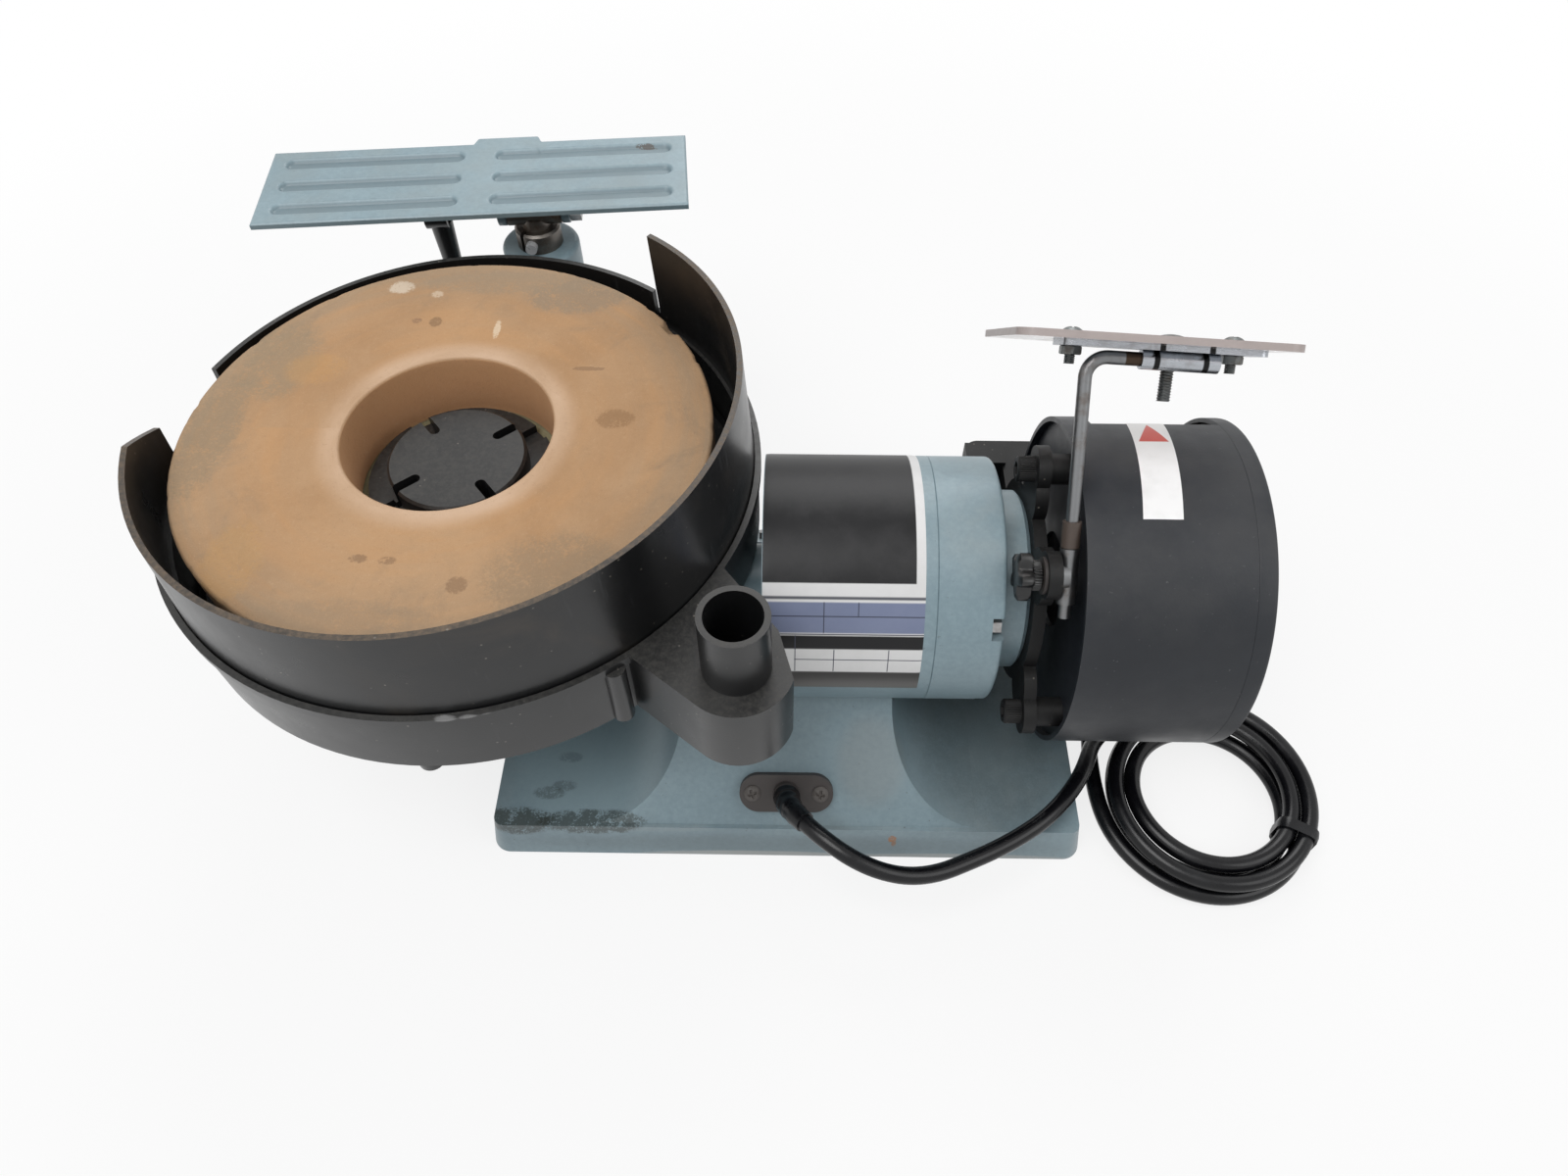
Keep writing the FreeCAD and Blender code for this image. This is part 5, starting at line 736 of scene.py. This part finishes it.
def end_bell(finish):
    """Cast bell turned about the motor axis, r(x, angle): a closed profile with a fine bevel at the seam; in
    a window of angle about each bolt the outer edge falls to the flat floor of an open notch."""
    seam, face, boss_r, seat_r, bore = 56, 82, 37, 17.6, 8.5
    half, floor, brink = math.degrees(4.2 / 46), 40.9, 77.3
    profile = np.concatenate([
        [(seam, 46.2), (seam, MOTOR_R - 0.5), (seam + 0.5, MOTOR_R)],
        np.stack([np.linspace(60, brink - 0.1, 5), np.full(5, MOTOR_R)], -1),
        rounded([(brink + 0.05, MOTOR_R), (face, MOTOR_R), (face, 41.2)], 2.6, 6),
        [(face, boss_r + 0.4), (face + 0.4, boss_r), (SPIDER_LEFT - 1.6, boss_r), (SPIDER_LEFT, boss_r - 1.6),
         (SPIDER_LEFT, bore), (92, bore), (92, seat_r), (78, seat_r), (78, 23.6), (76, 23.6), (76, 44.7),
         (seam, 46.2)]])
    edges = np.array([-half - 0.05, -half, -half / 2, 0, half / 2, half, half + 0.05])
    angle = np.unique(np.concatenate([np.arange(0, 360, 2.5)] + [middle + edges for middle in BOLT_ANGLES]))
    gap = np.min([np.abs(angle - middle) for middle in BOLT_ANGLES], 0)[:, None]
    x, r = profile.T
    r = np.where((gap <= half + 0.01) & (x > brink), np.minimum(r, floor), r)
    grid = moved(polar(r, np.radians(angle)[:, None], x), (0, 0, MOTOR_Z), ALONG_X)
    return surface("end_bell", grid, finish, "base", ["right_end_bell"], 32)


def guard_end(finish):
    """End cover turned about the motor axis: a closed profile with a fine bevel at the seam and a tight
    rim."""
    inner, seam, back = GUARD_R - 1.9, 168.0, 173.3
    corners = [(0, GUARD_END), (GUARD_R, GUARD_END), (GUARD_R, seam), (inner, seam), (inner, back - 2),
               (inner - 3.1, back), (0, back)]
    grid = spun(rounded(corners, [0, 1.6, 0.5, 0.2, 0.5, 0.5, 0], 5), 240)
    return surface("guard_end", moved(grid, (0, 0, MOTOR_Z), ALONG_X), finish, "base",
                   ["guard_cover"], 32)


def patch(name, x_span, angles, radius, thick, finish, slant=0.0):
    """Thin sheet wrapped on a cylinder about the motor axis: shares u and v run along x and the angle, x
    slants with the angle, the edge is eased down to the cylinder, and u and v are its own coordinates."""
    rows, cols, lift = 40, 60, 0.03
    u, v = np.meshgrid(np.linspace(0, 1, rows), np.linspace(0, 1, cols), indexing="ij")
    sweep = v * (angles[1] - angles[0])
    x = x_span[0] + u * (x_span[1] - x_span[0]) + slant * sweep
    inside = (np.abs(u - 0.5) < 0.5) & (np.abs(v - 0.5) < 0.5)
    r = radius + lift + thick * inside
    grid = moved(polar(r, np.radians(angles[0] + sweep), x), (0, 0, MOTOR_Z), ALONG_X)
    mesh = bpy.data.meshes.new(name)
    faces = quads(rows, cols)[:, ::-1]
    mesh.from_pydata((grid.reshape(-1, 3) * MM).tolist(), [], faces.tolist())
    layer = mesh.uv_layers.new(name="face")
    layer.data.foreach_set("uv", np.stack([u, v], -1).reshape(-1, 2)[faces.ravel()].ravel())
    return piece(name, mesh, finish, "base", smooth=60)


def knob_shape(finish):
    """Five-lobed grip: r = R + a cos(5 angle) eased over both rims, and a hub with thirty fine ribs."""
    angle = full_turn(240)
    face = np.array([(0, -10.9), (0.55, -10.9), (0.86, -10.7), (1.0, -9.8), (1.0, -6.4), (0.9, -5.2),
                     (0.72, -5.0)])
    grip_r = (7.6 + 1.9 * np.cos(5 * angle)) * face[:, 0]
    ribs = 5.35 + 0.28 * np.cos(30 * angle)
    ring = np.ones_like(angle)
    r = np.concatenate([grip_r, 5.2 * ring, ribs, ribs, 4.6 * ring, 0 * ring], 1)
    x = np.concatenate([face[:, 1], [-4.9, -4.6, -1.9, -1.4, -1.4]])
    clamp = SHIELD_HINGE - CLAMP_DROP * np.array([0, math.sin(ROD_LEAN), math.cos(ROD_LEAN)])
    grid = moved(polar(r, angle, x), (SPIDER_LEFT, *clamp[1:]), ALONG_X)
    return surface("clamp_grip", grid, finish, "clamp_knob", ["clamp_knob"], 40)


def coil_points():
    """Coil: radius falls by the pitch per turn for half the sweep and grows again, and the height drops a
    layer in the half turn where it reverses. The first and last turns stand off by a sine-squared swell that
    is nothing at the tie."""
    turns, per_turn, radius, pitch, low = 4, 20, 47.5, 7.9, 5.2
    sweep = 360 * turns - (180 - COIL_START)
    angle = np.linspace(0, sweep, int(per_turn * sweep / 360))
    half = sweep / 2
    bearing = np.radians(COIL_START - angle)
    away = (1 - np.cos(bearing - TIE)) / 2
    first = np.sin(np.pi * np.clip((angle - 20) / 320, 0, 1)) ** 2
    last = np.sin(np.pi * np.clip((angle - sweep + 340) / 320, 0, 1)) ** 2
    r = radius - pitch * (half - np.abs(angle - half)) / 360 + away * (2.4 * first + 4.6 * last)
    share = np.clip((angle - half + 90) / 180, 0, 1)
    z = low + pitch * (1 - share + np.sin(2 * np.pi * share) / (2 * np.pi))
    return polar(r, bearing, z) + (*COIL_MIDDLE, 0)


def cord_line():
    """Control points of the whole cord: out of the plate, over the plinth's corner, the coil, the plug."""
    lead = [SLOPE_SPOT + SLOPE_OUT * 1.5, SLOPE_SPOT + SLOPE_OUT * 14.9, (6.9, -91.1, 47.1),
            (15.8, -99.8, 48.7), (26.2, -106.5, 46.8), (37.7, -110, 42.6), (50.1, -110.1, 37.6),
            (62.6, -107, 34.2), (75.4, -101.2, 33), (85.5, -96.5, 32.5), (96.5, -90.6, 32.6),
            (109, -82.2, 32.6), (121.1, -69.6, 31), (131, -54.8, 25.2)]
    coil = coil_points()
    heading = math.radians(COIL_START - 90)
    before = coil[0] - 24 * np.array([math.cos(heading), math.sin(heading), 0])
    after = coil[-1] + np.array([0, 19, 0])
    tail = [after, (142.5, -21, 4.4), (147, -1, 4), (151.5, 20, 5.2), (153, 41, 8.5), (153, 52, 8.5)]
    return np.concatenate([lead, [before], coil, tail])


def cord_curve(finish):
    """The cord as one NURBS line of order 3 through its control points, with a round section."""
    curve = bpy.data.curves.new("mains_cord", "CURVE")
    curve.dimensions = "3D"
    points = cord_line() * MM
    spline = curve.splines.new("NURBS")
    spline.points.add(len(points) - 1)
    spline.points.foreach_set("co", np.insert(points, 3, 1, axis=1).ravel())
    spline.order_u = 3
    spline.use_endpoint_u = True
    spline.resolution_u = 6
    curve.bevel_depth = CORD_R * MM
    curve.bevel_resolution = 5
    curve.use_fill_caps = True
    curve.materials.append(finish)
    thing = placed("mains_cord", curve)
    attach(thing, "base")
    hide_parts("power_cord", "cord_coil", "cord_tail")
    return thing


def line_of(curve_object):
    """Points along the cord's own spline, read from the curve without its section."""
    bare = curve_object.data.copy()
    bare.bevel_depth = 0
    holder = placed("line", bare)
    graph = bpy.context.evaluated_depsgraph_get()
    mesh = bpy.data.meshes.new_from_object(holder.evaluated_get(graph))
    points = np.array([vertex.co for vertex in mesh.vertices]) / MM
    bpy.data.objects.remove(holder)
    bpy.data.meshes.remove(mesh)
    bpy.data.curves.remove(bare)
    return points


def along(line, profile):
    """Profile of (distance, radius) carried along a line, with a frame kept upright by its tangent."""
    step = np.linalg.norm(np.diff(line, axis=0), axis=1)
    travelled = np.concatenate([[0], np.cumsum(step)])

    def at(distance):
        return np.stack([np.interp(distance, travelled, line[:, k]) for k in range(3)], -1)

    spots = at(profile[:, 0])
    tangent = at(profile[:, 0] + 0.3) - at(profile[:, 0] - 0.3)
    tangent /= np.linalg.norm(tangent, axis=1, keepdims=True)
    side = np.cross(tangent, np.array([1.0, 0.2, 0.1]))
    side /= np.linalg.norm(side, axis=1, keepdims=True)
    up = np.cross(tangent, side)
    angle = full_turn(32)[..., None]
    return spots + profile[:, 1:2] * (side * np.cos(angle) + up * np.sin(angle))


def cord_boot(line, finish):
    """Tapered rubber boot on the cord's first stretch, with three shallow rings."""
    s = np.linspace(6.2, 27, 60)
    share = (s - s[0]) / (s[-1] - s[0])
    r = 5.5 - 1.2 * share + 0.22 * np.cos(share * 8 * np.pi) * (1 - share)
    inner = CORD_R - 0.05
    profile = np.stack([np.concatenate([s[:1], s, s[-1:]]), np.concatenate([[inner], r, [inner]])], -1)
    return surface("cord_boot", along(line, profile), finish, "base", smooth=60)


def strap(line, finish):
    """Strap drawn tight round the strands where the cord's line crosses the tie's plane: its outline is the
    hull of equal discs about the crossings, each direction taking the disc that reaches furthest."""
    out, side = np.array([math.cos(TIE), math.sin(TIE)]), np.array([-math.sin(TIE), math.cos(TIE)])
    flat = line[:, :2] - COIL_MIDDLE
    ahead, off = flat @ out, flat @ side
    hit = np.flatnonzero((off[:-1] * off[1:] <= 0) & (ahead[:-1] > 0))
    share = (off[hit] / (off[hit] - off[hit + 1]))[:, None]
    spots = np.stack([ahead, line[:, 2]], -1)
    spots = spots[hit] * (1 - share) + spots[hit + 1] * share
    angle = full_turn(96)
    reach = np.concatenate([np.cos(angle), np.sin(angle)], 1)
    furthest = spots[np.argmax(reach @ spots.T, 1)]
    section = np.array([(CORD_R + 0.1, -2.3), (CORD_R + 1.0, -2.5), (CORD_R + 1.3, 0), (CORD_R + 1.0, 2.5),
                        (CORD_R + 0.1, 2.3)])
    ring = furthest[:, None] + reach[:, None] * section[None, :, :1]
    wide = np.broadcast_to(section[:, 1], ring.shape[:2])[..., None]
    level = ring[..., :1] * out + wide * side + COIL_MIDDLE
    grid = np.concatenate([level, np.maximum(ring[..., 1:], 0.05)], -1)
    return surface("coil_strap", grid, finish, "base", ["coil_tie"], wrap_cols=True)


def dress(finish, *names):
    """Gives solids of the frame a finish."""
    for name in names:
        for holder in NODES[name].material_slots:
            holder.material = finish


def lamp(name, at, aim, size, power):
    """Round area lamp that faces a point."""
    light = bpy.data.lights.new(name, "AREA")
    light.shape = "DISK"
    light.size = size
    light.energy = power
    thing = placed(name, light)
    thing.location = at
    thing.rotation_euler = (Vector(aim) - Vector(at)).to_track_quat("-Z", "Y").to_euler()


def surroundings():
    """World that is white to camera, gloss and glass, and lights the object at a lower, plain level."""
    world = bpy.data.worlds.new("studio")
    bpy.context.scene.world = world
    world.use_nodes = True
    room, soft_light = NodeTree(world.node_tree), 0.34
    room.tree.nodes["Background"].inputs["Color"].default_value = WHITE
    level = room.node("ShaderNodeMapRange", {}, {"Value": room.seen(), "To Min": soft_light, "To Max": 1.0})
    room.feed(level, "Background", "Strength")


def pale_floor():
    """Pale floor that keeps the object's shadow and fades to plain white with the distance."""
    reach, drop = 6.0, -0.0005
    mesh = bpy.data.meshes.new("floor")
    mesh.from_pydata([(x * reach, y * reach, drop) for x, y in ((-1, -1), (1, -1), (1, 1), (-1, 1))], [],
                     [(0, 1, 2, 3)])
    pale = Finish("pale_floor", (0.8, 0.8, 0.8), 0.9)
    glow = pale.node("ShaderNodeEmission", {}, {"Color": WHITE, "Strength": 1.0})
    far = (pale.x * pale.x + pale.y * pale.y).rise(0.1, 0.6)
    mesh.materials.append(pale.cover(pale.seen() * (0.8 + far * 0.2), glow))
    placed("floor", mesh)


def viewpoint():
    """Camera fitted to the photograph, with its focal length in the photograph's pixels."""
    photo_width, focal_pixels, sensor = 1600, 1075, 36
    look_down, swing = math.radians(53.63), math.radians(0.84)
    camera = bpy.data.cameras.new("camera")
    camera.sensor_width = sensor
    camera.lens = sensor * focal_pixels / photo_width
    camera.clip_start = 0.01
    eye = placed("camera", camera)
    eye.location = (0.00189, -0.26746, 0.44496)
    eye.rotation_euler = (math.pi / 2 - look_down, 0, swing)
    bpy.context.scene.camera = eye


def studio():
    """White surroundings, pale floor, soft lamps and the photograph's camera."""
    bpy.context.scene.view_settings.view_transform = "Standard"
    surroundings()
    pale_floor()
    lamp("key", (-0.5, -0.5, 1.6), (0, 0, 0.1), 1.2, 17)
    lamp("fill", (1.1, -0.5, 1.1), (0, 0, 0.1), 1.0, 5)
    lamp("rear", (0.1, 1.2, 1.2), (0, 0, 0.12), 1.0, 8)
    viewpoint()


MOULD = (0.035, 0.042, 0.036)
# Colour of painted shade on the base.
SHADE = (0.075, 0.1, 0.108)
PALE = (0.42, 0.41, 0.39)
# Broad patches on the base: painted shade in the right scoop under the guard, painted shade on the plinth's
# front lip, a painted highlight along the lip's top edge, two pale bands along the plinth's bottom edge, a
# greyer patch at the pedestal's right edge, and painted light that brightens the left scoop.
BASE_PAINTED_LIGHT_AND_SHADE = [
    ((92, -42, 36), (50, 66, 40), SHADE, 0.85, 0.5),
    ((0, -87, 11), (190, 5, 13), SHADE, 0.4, 0.5),
    ((-60, -83, 19), (40, 2.6, 3), (0.33, 0.36, 0.36), 0.2, 0.5),
    ((-14, -86.5, 0), (66, 6, 4.6), PALE, 0.6, 0.3),
    ((76, -86.5, 0), (66, 6, 4.2), PALE, 0.55, 0.3),
    ((36, -62, 42), (20, 26, 30), (0.25, 0.255, 0.245), 0.35, 0.5),
    ((-88, -52, 28), (50, 46, 30), (0.28, 0.38, 0.42), 0.7, 0.5),
]
BASE_SPOTS = [
    ((46, -84.1, 13.6), (2.4, 9, 3.4), (0.3, 0.12, 0.03), 0.95, 0.35),
    ((46.8, -84.1, 10.4), (1.4, 9, 3.4), (0.22, 0.1, 0.035), 0.8, 0.4),
    ((-116, -80.5, 20), (20, 8, 10), MOULD, 0.8, 0.35),
    ((-84, -80.5, 20), (30, 7, 9), MOULD, 0.75, 0.35),
    ((-104, -67.5, 21), (9, 4, 9), MOULD, 0.45, 0.4),
    ((-97.5, -64, 21), (7, 3.6, 9), MOULD, 0.4, 0.45),
    ((-97, -50, 21), (7, 3.5, 9), MOULD, 0.3, 0.45),
]
PAINT = enamel("blue_grey_enamel", 0.16)
BASE_PAINT = enamel("base_enamel", 0.3, BASE_SPOTS, 0.9, painted_light_and_shade=BASE_PAINTED_LIGHT_AND_SHADE)
TABLE_TOP = REST_PIVOT[2] + TABLE_UP
TABLE_SCRATCH = [((-69.3, 192.3, TABLE_TOP), (8, 1.9, 4), (0.07, 0.06, 0.05), 0.9, 0.2)]
# The table's enamel is the blue-grey paint made lighter (tone 1.1) as painted light on its upward face, with
# painted shade below its top.
TABLE_PAINT = enamel("table_enamel", 0.08, TABLE_SCRATCH, 1.1, (TABLE_TOP - 0.2) * MM)
SCUFFS = [((x, y, 140.2), (5, 2, 1.4), (0.3, 0.3, 0.3), 0.6, 0.4)
          for x, y in ((-112, -98.3), (-104, -98), (-97, -97.2), (-88, -95.6))]
GRIP = black_moulding("black_grip", 0.007, 0.12)
GUARD = guard_black("guard_paint")
# Black paint of the spider, its screws and the dry rest: its own black, made darker than the guard's as
# painted shade.
SPIDER = black_moulding("spider_black_with_painted_shade", 0.004, 0.08, 900, 0.5, Specular_IOR_Level=0.28)
GROOVE = (0.02, 0.02, 0.02)
SCREW_STEEL = worn_steel("screw_steel", (0.17, 0.18, 0.18), 0.6, 0.4)
STONE = fired_stone("fired_stone")
JACKET = cord_jacket("cord_jacket")

dress(PAINT, "motor_shell", "right_end_bell", "gear_housing", "gear_cover", "snout_cap")
dress(BASE_PAINT, "base_casting")
dress(TABLE_PAINT, "rest_plate")
dress(plain("bottom_sheet", (0.06, 0.06, 0.06), 0.6), "bottom_plate")
dress(black_moulding("black_moulding", spots=SCUFFS), "water_tray", "back_band", "hub_cap")
dress(black_moulding("gritty_moulding", 0.008, 0.7, tint=(0.16, 0.115, 0.075)), "splash_ring")
dress(GRIP, "rest_lock_lever", "clamp_knob", "switch_housing", "cooling_fan")
dress(GUARD, "guard_drum", "guard_cover")
dress(SPIDER, "guard_spider", "guard_screws", "dry_rest")
dress(worn_steel("worn_steel"), "boss_screw", "rest_pivot_bolt", "motor_shaft", "spindle", "shaft_bearings",
      "spindle_bearings", "arbor_nut", "dry_wheel_flanges", "housing_screws", "base_screws", "motor_bolts",
      "dry_rest_bolt", "wheel_flange", "stator_core", "rotor_core")
dress(worn_steel("post_steel", (0.17, 0.155, 0.14), 0.75, 0.42), "rest_post", "rest_bracket")
dress(worn_steel("rod_steel", (0.2, 0.205, 0.21), 0.5, 0.36, [(119.9, 4.3, (0.06, 0.042, 0.03))]),
      "shield_rod", "clamp_sleeve")
dress(plain("bright_bolt", (0.52, 0.53, 0.54), 0.3, Metallic=0.3), "post_clamp_bolt")
dress(worn_steel("hinge_steel", (0.42, 0.44, 0.47), 0.35, 0.28, [(126.1, 1.0, GROOVE), (143.0, 1.0, GROOVE)]),
      "shield_strip")
dress(SCREW_STEEL, "shield_screws")
dress(STONE, "grinding_stone")
dress(grey_grit("grey_grit"), "dry_wheel")
dress(JACKET, "power_cord", "cord_coil", "cord_tail", "plug_body", "coil_tie", "spindle_seal")
dress(brown_rubber("brown_plastic", (0.04, 0.034, 0.032)), "cord_plate", "capacitor", "knob_washer")
dress(brown_rubber("brown_rubber", (0.062, 0.045, 0.036)), "rod_collar")
dress(clear_sheet("clear_sheet", SHIELD_FRAME[:, 2]), "shield_plate")
dress(plain("red_switch", (0.42, 0.025, 0.02), 0.3), "switch_rocker")
dress(plain("varnished_wire", (0.45, 0.17, 0.06), 0.35, Metallic=0.8), "stator_windings")
dress(plain("bronze", (0.55, 0.36, 0.14), 0.35, Metallic=1.0), "worm_wheel")
dress(plain("brass", (0.66, 0.48, 0.2), 0.28, Metallic=1.0), "plug_blades")

studio()
wheel_stone(STONE)
rest_table(TABLE_PAINT)
rest_lugs(TABLE_PAINT)
end_bell(PAINT)
guard_end(GUARD)
guard_fasteners(SPIDER)
cord = cord_curve(JACKET)
path = line_of(cord)
cord_boot(path, JACKET)
tie = strap(path, JACKET)
tuple(cord_line()[0] * MM)
patch("blank_data_plate", (-9.7, 51.5), (42, 187.5), MOTOR_R, 0.12, blank_plate("blank_film"))
patch("turn_arrow", (131.9, 146.4), (61.5, 108.2), GUARD_R, 0.1, arrow_film("arrow_film"), slant=-0.095)
knob_shape(GRIP)
shield_fasteners(SCREW_STEEL)
base_fasteners(brown_rubber("brown_screw", (0.075, 0.066, 0.06)))
